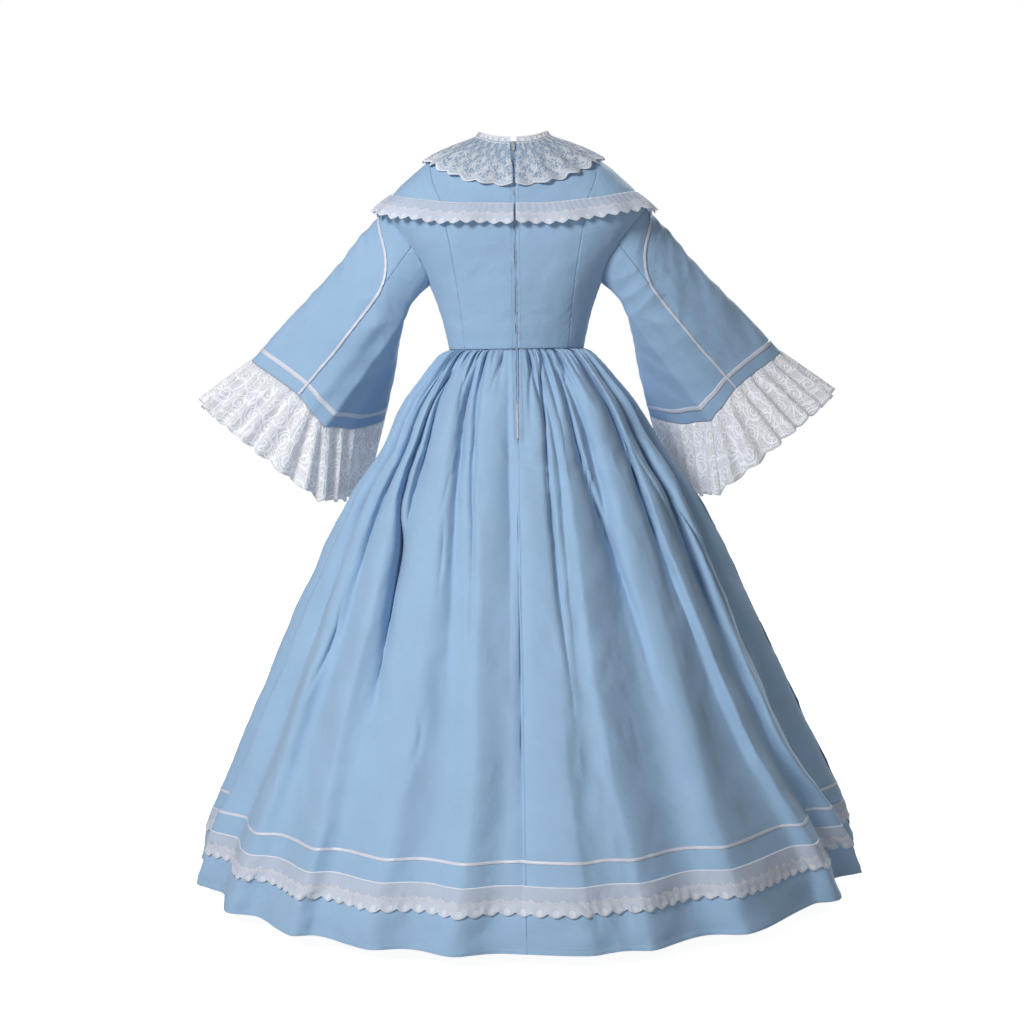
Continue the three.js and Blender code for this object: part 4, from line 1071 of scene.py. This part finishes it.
class GOWN_OT_bodice(bpy.types.Operator):
    """Cuts and joins the bodice's seven panels"""

    bl_idname = "gown.bodice"
    bl_label = "Bodice"

    def panel(self, context, name, points, sides, flat, area, pucker=0.3):
        settings = context.scene.gown_cloth
        u, v = points[..., 0] + points[..., 1] * 0.6, points[..., 2]
        drag = 0.28 * ripple(u, v * 2.2, 31, 60) + 0.14 * creased(u * 0.6, v * 1.6, 33, 70)
        points = points + normals_of(points) * drag[..., None]
        points, seam = sewn(points, sides, settings.seam_depth / MM, pucker)
        piece = cotton_panel(context, name, points, seam)

    def execute(self, context):
        back = centre_panel("back", 44)
        pull = np.maximum(0, ZIP_OPENING / 2 - back[..., 0])
        back = back + pull[..., None] * np.array([1, 0, 0])
        side_back, side_front = side_panel("back", 34), side_panel("front", 34)
        for side in SIDES:
            edges = ["left", "right"] if side == "left" else ["right", "left"]
            self.panel(context, f"bodice_back_{side}", on_side(back, side), edges, (0.215, 0.51), 0.052, 0.42)
            edges = ["left", "right", "top"]
            self.panel(context, f"bodice_side_back_{side}", on_side(side_back, side), edges, (0.165, 0.41), 0.036)
            self.panel(context, f"bodice_side_front_{side}", on_side(side_front, side), edges, (0.155, 0.42), 0.041)
        self.panel(context, "bodice_front", centre_panel("front", 60), ["left", "right"], (0.51, 0.52), 0.097)
        return {"FINISHED"}


def back_rows():
    return np.concatenate([
        np.linspace(WAIST_Z - 0.1, -410, 38, endpoint=False),
        np.linspace(-410, -560, 30, endpoint=False),
        np.linspace(-560, HEM_Z + 14, 60, endpoint=False),
        HEM_Z + np.array([14, 10, 7, 4.5, 2.5, 1, 0]),
    ])


def fold_phases(start, end, per_fold):
    count = int(round((end - start) * per_fold))
    inner = np.linspace(start, end, count + 1)
    near = np.array([0.006, 0.014, 0.025])
    extra = np.concatenate([start + near, end - near])
    return np.unique(np.round(np.concatenate([inner, extra]), 6))


def hem_groove(up):
    """How far the stitches of the turned hem draw the cloth in, at heights above the hem."""
    return 0.7 * np.exp(-((up - HEM_FOLD_UP) / HEM_FOLD_SOFTNESS) ** 2)


class GOWN_OT_skirt(bpy.types.Operator):
    """Gathers the skirt's three panels into the waist"""

    bl_idname = "gown.skirt"
    bl_label = "Skirt"

    def panel(self, context, name, points, flat, area, column=None, edge=None):
        settings = context.scene.gown_cloth
        points, seam = sewn(points, ["left", "right", "top"], settings.seam_depth / MM, pucker=0.35, pitch=19)
        points = points - normals_of(points) * hem_groove(points[..., 2] - HEM_Z)[..., None]
        if edge is not None:
            points[:, column] = edge
        piece = cotton_panel(context, name, points, seam)

    def execute(self, context):
        z = back_rows()
        left = skirt_surface(fold_phases(SEAM_PHASE, LEFT_SIDE_PHASE, 34), z)
        right = skirt_surface(fold_phases(0, SEAM_PHASE, 34), z)
        gap = np.where(z > ZIP_END_Z - 6, ZIP_OPENING / 2 * ease(z, ZIP_END_Z - 6, ZIP_END_Z + 120) + 0.3, 0)
        left[..., 0] = np.maximum(left[..., 0], gap[:, None])
        right[..., 0] = np.minimum(right[..., 0], -gap[:, None])
        middle = (left[:, 0, 1:] + right[:, -1, 1:]) / 2 - np.array([0.5, 0])
        front = skirt_surface(fold_phases(LEFT_SIDE_PHASE, ALL_ROUND, 14), z)
        self.panel(context, "skirt_back_left", left, (1.12, 1.12), 0.8, 0, np.column_stack([gap, middle]))
        self.panel(context, "skirt_back_right", right, (1.12, 1.14), 0.78, -1, np.column_stack([-gap, middle]))
        self.panel(context, "skirt_front", front, (2.05, 1.12), 1.6)
        return {"FINISHED"}


class GOWN_OT_sleeves(bpy.types.Operator):
    """Sets in the two-piece pagoda sleeves"""

    bl_idname = "gown.sleeves"
    bl_label = "Sleeves"

    def execute(self, context):
        settings = context.scene.gown_cloth
        near_arm, below = np.linspace(0, 0.06, 8, endpoint=False), np.linspace(0.06, 0.985, 84)
        shares = np.concatenate([near_arm, below, [0.991, 0.996, 1]])
        front, back = SLEEVE_SEAMS["front"], SLEEVE_SEAMS["back"]
        for half, start, end in (("upper", back, front + SLEEVE_COLUMNS), ("under", front, back)):
            columns = between(start, end, crowded(70, 0.6))
            points = sleeve_surface(columns, shares)
            for side in SIDES:
                turned, seam = sewn(on_side(points, side), ["left", "right", "top"], settings.seam_depth / MM, 0.4)
                way = armhole_out() * np.array([1 if side == "left" else -1, 1, 1])
                turned, seam = np.concatenate([turned[:1] - way * 3, turned]), np.concatenate([seam[:1], seam])
                piece = cotton_panel(context, f"sleeve_{half}_{side}", turned, seam)
        return {"FINISHED"}


def scalloped(u, flat, width, depth, height):
    """A scalloped border's sizes in metres, and how far its edge rises, as a share of the height."""
    pitch = flat / round(flat * MM / width)
    rise = depth * np.abs((u / pitch) % 1 * 2 - 1) ** SCALLOP_CURVE / height
    return (pitch * MM, depth * MM, height * MM), rise


class GOWN_OT_sleeve_lace(bpy.types.Operator):
    """Gathers the deep corded lace into the sleeve hems"""

    bl_idname = "gown.sleeve_lace"
    bl_label = "Sleeve lace"

    def execute(self, context):
        settings = context.scene.gown_lace
        height, flat, count = 134.0, 1560.0, LACE_WAVES * 14
        fine = np.linspace(0, SLEEVE_COLUMNS, 400, endpoint=False)
        hem = sleeve_surface(fine, np.array([0.99, 1.0]))[1]
        run = run_along(hem, True)
        place = np.arange(count) / count
        column = np.interp(place * run[-1], run, np.append(fine, SLEEVE_COLUMNS))
        base = sleeve_surface(column, np.array([0.99, 1.0]))[1]
        falls = np.array([[line[2] for line in SLEEVE_LINES]], float)
        fall = round_sleeve(falls, column)[0]
        along = unit(np.roll(base, -1, 0) - np.roll(base, 1, 0))
        out = unit(np.cross(along, fall))
        u = place * flat
        border, rise = scalloped(u, flat, settings.sleeve_scallop, 7.0, height)
        rows = np.linspace(0, 1, 26)[:, None] * (1 - rise)[None, :]
        wave = place * LACE_WAVES * 2 * math.pi
        pick = np.random.default_rng(5)
        sways = np.append(pick.uniform(-0.5, 0.5, LACE_WAVES), 0)
        sway = np.interp(place * LACE_WAVES, range(LACE_WAVES + 1), sways)
        swing = np.sin(wave[None, :] + rows * sway[None, :] * 1.6)
        swing = np.sign(swing) * np.abs(swing) ** 0.85
        size = between(1.6, 10, rows**0.8) * (1 + 0.25 * np.sin(wave * 0.37)[None, :])
        fine_gathers = 0.8 * np.sin(wave * 4)[None, :] * np.exp(-rows * 9)
        reach = size * swing + fine_gathers - 0.5
        start = unit(fall) * 0.9
        points = base + start + fall[None] * rows[..., None] + out[None] * reach[..., None]
        cut = flat_places(np.append(u, flat), np.concatenate([rows, rows[:, :1]], 1) * height)
        material = corded_finish(tuple(settings.colour), border)
        for side in SIDES:
            turned, flat_cut = on_side(points, side), cut
            if side == "right":
                turned, flat_cut = np.roll(turned, 1, 1), cut[:, ::-1]
            name = f"sleeve_lace_{side}"
            piece = cloth(name, turned, flat_cut, closed=True, wall=settings.wall / MM, material=material)
            dress(piece, [name])
        return {"FINISHED"}


class GOWN_OT_collar(bpy.types.Operator):
    """Gathers the net lace collar under its heading"""

    bl_idname = "gown.collar"
    bl_label = "Lace collar"

    def execute(self, context):
        settings = context.scene.gown_lace
        flat, height = 1120.0, 92.0
        place = np.linspace(0, 1, COLLAR_WAVES * 20 + 1)
        neck = math.asin(COLLAR_GAP / BODICE_RINGS[0, 0])
        azimuth = between(neck, 2 * math.pi - neck, place)
        u = place * flat
        border, rise = scalloped(u, flat, settings.collar_scallop, 5.5, height)
        wave = np.cos(place * COLLAR_WAVES * 2 * math.pi)
        heading, heading_out = bodice_place(azimuth, np.zeros_like(azimuth))
        top = heading + heading_out * COLLAR_LIFT + np.array([0, 0, 7])
        share = np.concatenate([np.linspace(0, HEADING_SHARE, 5, endpoint=False), np.linspace(HEADING_SHARE, 1, 30)])
        rows = []
        for s in share:
            if s < HEADING_SHARE:
                at, out = bodice_place(azimuth, np.full_like(azimuth, COLLAR_TOP))
                rows.append(between(top, at + out * COLLAR_LIFT, s / HEADING_SHARE))
                continue
            down = (s - HEADING_SHARE) / (1 - HEADING_SHARE)
            level = between(COLLAR_TOP, COLLAR_EDGE, down) - rise * 2.1 * ease(s, 0.6, 1)
            at, out = bodice_place(azimuth, level)
            swell = 3.4 * down * (1 + wave)
            tucks = 0.7 * np.sin(place * COLLAR_WAVES * 6 * math.pi) * np.exp(-down * 6.3)
            rows.append(at + out * (COLLAR_LIFT + swell + tucks)[:, None])
        points = np.array(rows)
        clear = between(2.2, COLLAR_GAP, ease(points[:, 0, 2], -22, 2))
        for end, way, run in ((0, 1, u), (-1, -1, flat - u)):
            shift = clear - way * points[:, end, 0]
            points[..., 0] += way * shift[:, None] * np.exp(-run / 45)[None, :]
        v = share[:, None] * (height - (rise * height)[None, :] * ease(share[:, None], 0.6, 1))
        material = net_finish(tuple(settings.colour), border)
        piece = cloth("lace_collar", points, flat_places(u, v), wall=0.5, material=material)
        dress(piece, ["lace_collar"])
        return {"FINISHED"}


class GOWN_OT_frills(bpy.types.Operator):
    """Sews the eyelet frills round the shoulders and the skirt"""

    bl_idname = "gown.frills"
    bl_label = "Eyelet frills"

    def shoulder_frill(self, context):
        settings = context.scene.gown_lace
        start = math.asin(ZIP_OPENING / 2 / BODICE_RINGS[FRILL_TOP, 0])
        place = np.linspace(0, 1, 721)
        azimuth = between(start, 2 * math.pi - start, place)
        at, out = bodice_place(azimuth, np.full_like(azimuth, float(FRILL_TOP)))
        top, edge = at + out * 2.3, on_ring(BERTHA_EDGE, azimuth)
        fullness, height = 1.06, 46.0
        u = run_along(edge) * fullness
        border, rise = scalloped(u, u[-1], settings.frill_scallop, FRILL_DEPTH, height)
        wave = 1 + np.cos(place * FRILL_WAVES * 2 * math.pi)
        puckers = np.sin(u * 2 * math.pi / 13 + 2 * ripple(u, 0, 41, 90))
        rows = np.linspace(0, 1, 20)[:, None]
        down = rows * (1 - rise * ease(rows, 0.5, 1))
        t = down * 1.03
        bulge = 8 * t * (1 - t) + 3.6 * t * wave + puckers * 0.45 * np.exp(-rows * 2.2)
        points = between(top, edge, t[..., None]) + out * bulge[..., None]
        points[..., 2] += 3.0 * ripple(u, 0, 49, 150) * (0.4 + 0.6 * rows)
        material = eyelet_finish("shoulder_eyelet", settings, border, 0.0245)
        cut = flat_places(u, down * height)
        piece = cloth("bertha_frill", points, cut, wall=settings.wall / MM, material=material)
        dress(piece, ["bertha_frill"])

    def skirt_frill(self, context):
        settings = context.scene.gown_lace
        top, drop, height = HEM_Z + 103, 46, 48.0
        points = skirt_surface(np.linspace(0, ALL_ROUND, 1900, endpoint=False), np.linspace(top, top - drop, 14))
        run = run_along(points[0], True)
        u = run[:-1]
        border, rise = scalloped(u, run[-1], settings.frill_scallop, FRILL_DEPTH, height)
        rows = np.linspace(0, 1, 14)[:, None]
        share = rows * (1 - rise * ease(rows, 0.5, 1))
        puckers = np.sin(u * 2 * math.pi / 17 + 2 * ripple(u, 0, 43, 110))
        lift = 1.1 + share * (1.2 + 0.4 * puckers + 0.4 * ripple(u[None, :], share * drop, 45, 50))
        points = points + normals_of(points, True) * lift[..., None]
        points[..., 2] = top - share * drop
        cut = flat_places(run, np.concatenate([share, share[:, :1]], 1) * height)
        material = eyelet_finish("skirt_eyelet", settings, border, 0.0265)
        piece = cloth("skirt_frill", points, cut, closed=True, wall=settings.wall / MM, material=material)
        dress(piece, ["skirt_frill"])

    def execute(self, context):
        self.shoulder_frill(context)
        self.skirt_frill(context)
        return {"FINISHED"}


class GOWN_OT_ribbons(bpy.types.Operator):
    """Sews satin ribbon round the skirt and along the sleeves"""

    bl_idname = "gown.ribbons"
    bl_label = "Satin ribbons"

    def ribbon(self, context, name, points, length, under, closed=False):
        joined = np.concatenate([points, points[:, :1]], 1) if closed else points
        cut = flat_places(run_across(joined).mean(0), np.linspace(0, 6, len(points))[:, None])
        piece = cloth(name, points, cut, closed=closed, wall=0.6, material=satin(context))
        dress(piece, [name])

    def skirt_ribbon(self, context):
        phases = np.linspace(0, ALL_ROUND, 1100, endpoint=False)
        z = HEM_Z + np.linspace(139.5, 134.5, 5)
        points = skirt_surface(phases, z)
        lift = 0.55 + 0.12 * np.sin(phases * 40 + 2 * ripple(phases * FOLD_RUN, 0, 47, 30))
        crown = lift[None, :, None] + np.array([0, 0.12, 0.18, 0.12, 0])[:, None, None]
        self.ribbon(context, "skirt_ribbon", points + normals_of(points, True) * crown, 3.9, "skirt_front", True)

    def sleeve_ribbons(self, context):
        shares = np.linspace(SLEEVE_ROWS[7], SLEEVE_ROWS[8], 5)
        seam = SLEEVE_SEAMS["back"]
        points = sleeve_surface(np.linspace(seam, seam + SLEEVE_COLUMNS, 260, endpoint=False), shares)
        crown = np.array([0.5, 0.62, 0.68, 0.62, 0.5])[:, None, None]
        band = points + normals_of(points, True) * crown
        rows = range(len(SLEEVE_ROWS))
        path = np.array([[column, np.interp(row, rows, SLEEVE_ROWS) * 100, 0] for column, row in RIBBON_PATH])
        places = through(path, np.linspace(0, 1, 150), False)
        column, share = places[:, 0], places[:, 1] / 100
        small = 0.02
        at = np.array([
            sleeve_surface([c - small, c, c + small], [s - 0.002, s, s + 0.002]) for c, s in zip(column, share)
        ])
        middle = at[:, 1, 1]
        out = unit(np.cross(at[:, 1, 2] - at[:, 1, 0], at[:, 2, 1] - at[:, 0, 1]))
        along = unit(np.gradient(middle, axis=0))
        across = unit(np.cross(along, out))
        puckers = (0.3 * np.sin(np.linspace(0, 1, 150) * 400 / 9 * math.pi))[:, None]
        long = np.array([
            middle + across * (w + puckers * np.sign(w)) + out * h
            for w, h in ((-2.7, 1.1), (-1.4, 1.25), (0, 1.3), (1.4, 1.25), (2.7, 1.1))
        ])
        for side in SIDES:
            under = f"sleeve_upper_{side}"
            self.ribbon(context, f"sleeve_hem_ribbon_{side}", on_side(band, side), 0.75, under, True)
            self.ribbon(context, f"sleeve_ribbon_{side}", on_side(long, side), 0.4, under)

    def execute(self, context):
        self.skirt_ribbon(context)
        self.sleeve_ribbons(context)
        return {"FINISHED"}


def centre_line():
    """The centre back from the neck to the end of the zip: places and the way out."""
    levels = np.linspace(0, WAIST, 120)
    upper, upper_out = bodice_place(np.zeros_like(levels), levels)
    z = np.linspace(WAIST_Z - 0.4, ZIP_END_Z, 60)
    lower = skirt_points(np.array([SEAM_PHASE - 0.02, SEAM_PHASE, SEAM_PHASE + 0.02]), z)
    lower_out = normals_of(lower)[:, 1]
    points = np.concatenate([upper, lower[:, 1]])
    points[:, 0] = 0
    out = np.concatenate([upper_out, lower_out])
    out[:, 0] = 0
    smoothed = out.copy()
    for _ in range(5):
        smoothed[1:-1] = (smoothed[:-2] + smoothed[1:-1] * 2 + smoothed[2:]) / 4
    return points, unit(smoothed)


def spindles(name, at, forward, upward, length, width, material):
    """Small rounded bars, each at its place along its own way forward, in one mesh."""
    sides = 4
    verts, faces = [], []
    steps = [(-0.5, 0.0), (-0.28, 1.0), (0.28, 1.0), (0.5, 0.0)]
    sideways = np.cross(upward, forward)
    turns = [2 * math.pi * k / sides for k in range(sides)]
    for centre, ahead, up, side in zip(at, forward, upward, sideways):
        base = len(verts)
        for step, size in steps:
            for turn in turns[: sides if size else 1]:
                offset = (up * math.sin(turn) * 0.8 + side * math.cos(turn)) * width * size
                verts.append(centre + ahead * length * step + offset)
        first, last = base, base + 1 + 2 * sides
        for k in range(sides):
            a, b = base + 1 + k, base + 1 + (k + 1) % sides
            faces += [(first, b, a), (a, b, b + sides, a + sides), (a + sides, b + sides, last)]
    mesh = bpy.data.meshes.new(name)
    mesh.from_pydata([tuple(v * MM) for v in verts], [], faces)
    mesh.shade_smooth()
    mesh.materials.append(material)
    return placed(name, mesh)


def spaced(points, out, pitch):
    """Places a pitch apart along a line, with the way forward and the way out at each."""
    run = run_along(points)
    places = np.arange(pitch / 2, run[-1], pitch)
    at, ahead, behind = (
        np.stack([np.interp(places + step, run, points[:, k]) for k in range(3)], -1) for step in (0, 0.3, -0.3)
    )
    up = unit(np.stack([np.interp(places, run, out[:, k]) for k in range(3)], -1))
    return at, unit(ahead - behind), up


def threads_along(name, paths, context, width=0.28):
    """Stitches along paths of (points, ways out), each stitch a small spindle of thread."""
    pitch = context.scene.gown_trim.stitch / MM
    at, forward, up = (np.concatenate(parts) for parts in zip(*(spaced(*path, pitch) for path in paths)))
    dress(spindles(name, at, forward, up, pitch * 0.72, width, thread(context)), [])


class GOWN_OT_stitching(bpy.types.Operator):
    """Stitches the zip's edges and the hems"""

    bl_idname = "gown.stitching"
    bl_label = "Stitching"

    def execute(self, context):
        points, out = centre_line()
        beside = []
        for side in (-1, 1):
            shifted = points.copy()
            shifted[:, 0] = side * ZIP_STITCH_OUT
            beside.append((shifted + out * 0.306, out))
        end = points[-1] + np.array([0, 0, -2])
        box = np.array([[x, end[1] + 0.5, end[2]] for x in np.linspace(-ZIP_STITCH_OUT, ZIP_STITCH_OUT, 12)])
        beside.append((box, np.repeat(out[-1:], 12, 0)))
        threads_along("zip_stitching", beside, context)
        rows = []
        for up in (3.6, HEM_FOLD_UP):
            line = skirt_surface(np.linspace(0, ALL_ROUND, 1400), HEM_Z + np.array([up + 1, up, up - 1]))
            out = normals_of(line)[1]
            rows.append((line[1] - out * (hem_groove(up) - 0.15), out))
        threads_along("hem_stitching", rows, context, width=0.24)
        return {"FINISHED"}


class GOWN_OT_zip(bpy.types.Operator):
    """Sets in the zip's tape and coil, and finishes its slider and pull"""

    bl_idname = "gown.zip"
    bl_label = "Zip"

    def execute(self, context):
        settings = context.scene.gown_trim
        points, out = centre_line()
        across = np.array([-11, -8, -5, -2.6, -1.8, -0.9, 0, 0.9, 1.8, 2.6, 5, 8, 11])
        behind = np.where(np.abs(across) < 2, -1.5, -2.5) - across**2 / 140
        grid = points[:, None, :] + out[:, None, :] * behind[None, :, None]
        grid[..., 0] += across
        cloth_of_tape = tape_finish(tuple(settings.tape))
        tape = cloth("zip_tape", grid, cut_map(grid, 0.5), wall=0.6, material=cloth_of_tape)
        dress(tape, ["zip_tape"])
        at, forward, up = spaced(points - out * COIL_SINK, out, COIL_PITCH)
        sides = np.where(np.arange(len(at)) % 2, 1, -1)[:, None] * np.array([0.45, 0, 0])
        lean = unit(np.array([1, 0, 0]) + forward * 0.12)
        dress(spindles("zip_coil", at + sides, lean, up, 2.3, 0.42, cloth_of_tape), [])
        metal = metal_finish(tuple(settings.metal))
        for node in ("zip_slider", "zip_pull"):
            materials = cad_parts[node].data.materials
            materials.clear()
            materials.append(metal)
        return {"FINISHED"}


class GOWN_OT_stage(bpy.types.Operator):
    """Lays the floor, hangs the lights and sets up the camera"""

    bl_idname = "gown.stage"
    bl_label = "Stage"

    def floor(self, context):
        bpy.ops.object.select_all(action="DESELECT")
        bpy.ops.mesh.primitive_plane_add(size=40, location=(0, 0, FLOOR_Z))
        plane = bpy.context.object
        plane.name = "floor"
        finish = Finish("pale_floor", Roughness=0.95, Emission_Strength=1.0, Specular_IOR_Level=0.0)
        places = finish.add("ShaderNodeTexCoord", output=3)
        colour = tuple(context.scene.gown_stage.floor)
        tone = finish.mix(finish.noise(places, 0.7, 2), shade(colour, 0.99), colour)
        seen = finish.add("ShaderNodeLightPath")
        finish.into(Base_Color=tone, Emission_Color=finish.mix(seen, (0.06, 0.06, 0.06, 1), (0.94, 0.94, 0.94, 1)))
        plane.data.materials.append(finish.material)

    def light(self, name, place, target, size, power):
        data = bpy.data.lights.new(name, "AREA")
        data.shape, data.size, data.energy = "DISK", size, power
        lamp = placed(name, data)
        lamp.location = place
        lamp.rotation_euler = (Vector(target) - Vector(place)).to_track_quat("-Z", "Y").to_euler()

    def room(self, context):
        world = bpy.data.worlds.new("studio")
        world.use_nodes = True
        room, background = Nodes(world.node_tree), world.node_tree.nodes["Background"]
        room.feed(background.inputs["Color"], (1, 1, 1, 1))
        seen = room.add("ShaderNodeLightPath")
        strength = room.add("ShaderNodeMix", {0: seen, 2: context.scene.gown_stage.sky, 3: 1.0})
        room.feed(background.inputs["Strength"], strength)
        bpy.context.scene.world = world

    def camera(self):
        data = bpy.data.cameras.new("camera")
        data.lens, data.sensor_width, data.clip_end = CAMERA_LENS, 36, 60
        camera = placed("camera", data)
        turn = Matrix.Rotation(math.pi, 4, "Z") @ Matrix.Rotation(math.radians(90 - CAMERA_TILT), 4, "X")
        turn = turn @ Matrix.Rotation(math.radians(CAMERA_ROLL), 4, "Z")
        camera.matrix_world = Matrix.Translation(CAMERA_PLACE) @ turn
        bpy.context.scene.camera = camera

    def execute(self, context):
        settings = context.scene.gown_stage
        self.floor(context)
        self.room(context)
        self.light("key_light", (2.3, 3.2, 1.7), (0, 0, -0.6), 1.3, settings.key)
        self.light("fill_light", (-2.4, 3.6, 0.8), (0, 0, -0.7), 2.6, settings.fill)
        self.light("front_light", (-1.6, -3.4, 1.6), (0, 0, -0.6), 2.0, settings.key * 0.8)
        self.camera()
        bpy.context.scene.view_settings.view_transform = "Standard"
        return {"FINISHED"}


OPERATORS = [
    GOWN_OT_stage, GOWN_OT_bodice, GOWN_OT_skirt, GOWN_OT_sleeves, GOWN_OT_sleeve_lace, GOWN_OT_collar,
    GOWN_OT_frills, GOWN_OT_ribbons, GOWN_OT_zip, GOWN_OT_stitching,
]


class GOWN_PT_panel(bpy.types.Panel):
    """Lists the gown's sizes, colours and pieces"""

    bl_label = "Gown"
    bl_idname = "GOWN_PT_panel"
    bl_space_type = "VIEW_3D"
    bl_region_type = "UI"
    bl_category = "Gown"

    def draw(self, context):
        for name, group in SETTINGS.items():
            for key in group.__annotations__:
                self.layout.prop(getattr(context.scene, name), key)
        for operator in OPERATORS:
            self.layout.operator(operator.bl_idname)


def register():
    for kind in (*SETTINGS.values(), *OPERATORS, GOWN_PT_panel):
        bpy.utils.register_class(kind)
    for name, group in SETTINGS.items():
        setattr(bpy.types.Scene, name, bpy.props.PointerProperty(type=group))


def unregister():
    for name in SETTINGS:
        delattr(bpy.types.Scene, name)
    for kind in (GOWN_PT_panel, *reversed(OPERATORS), *reversed(SETTINGS.values())):
        bpy.utils.unregister_class(kind)


def main():
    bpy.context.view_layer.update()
    register()
    for operator in OPERATORS:
        getattr(bpy.ops.gown, operator.bl_idname.split(".")[1])()


if __name__ == "__main__":
    main()
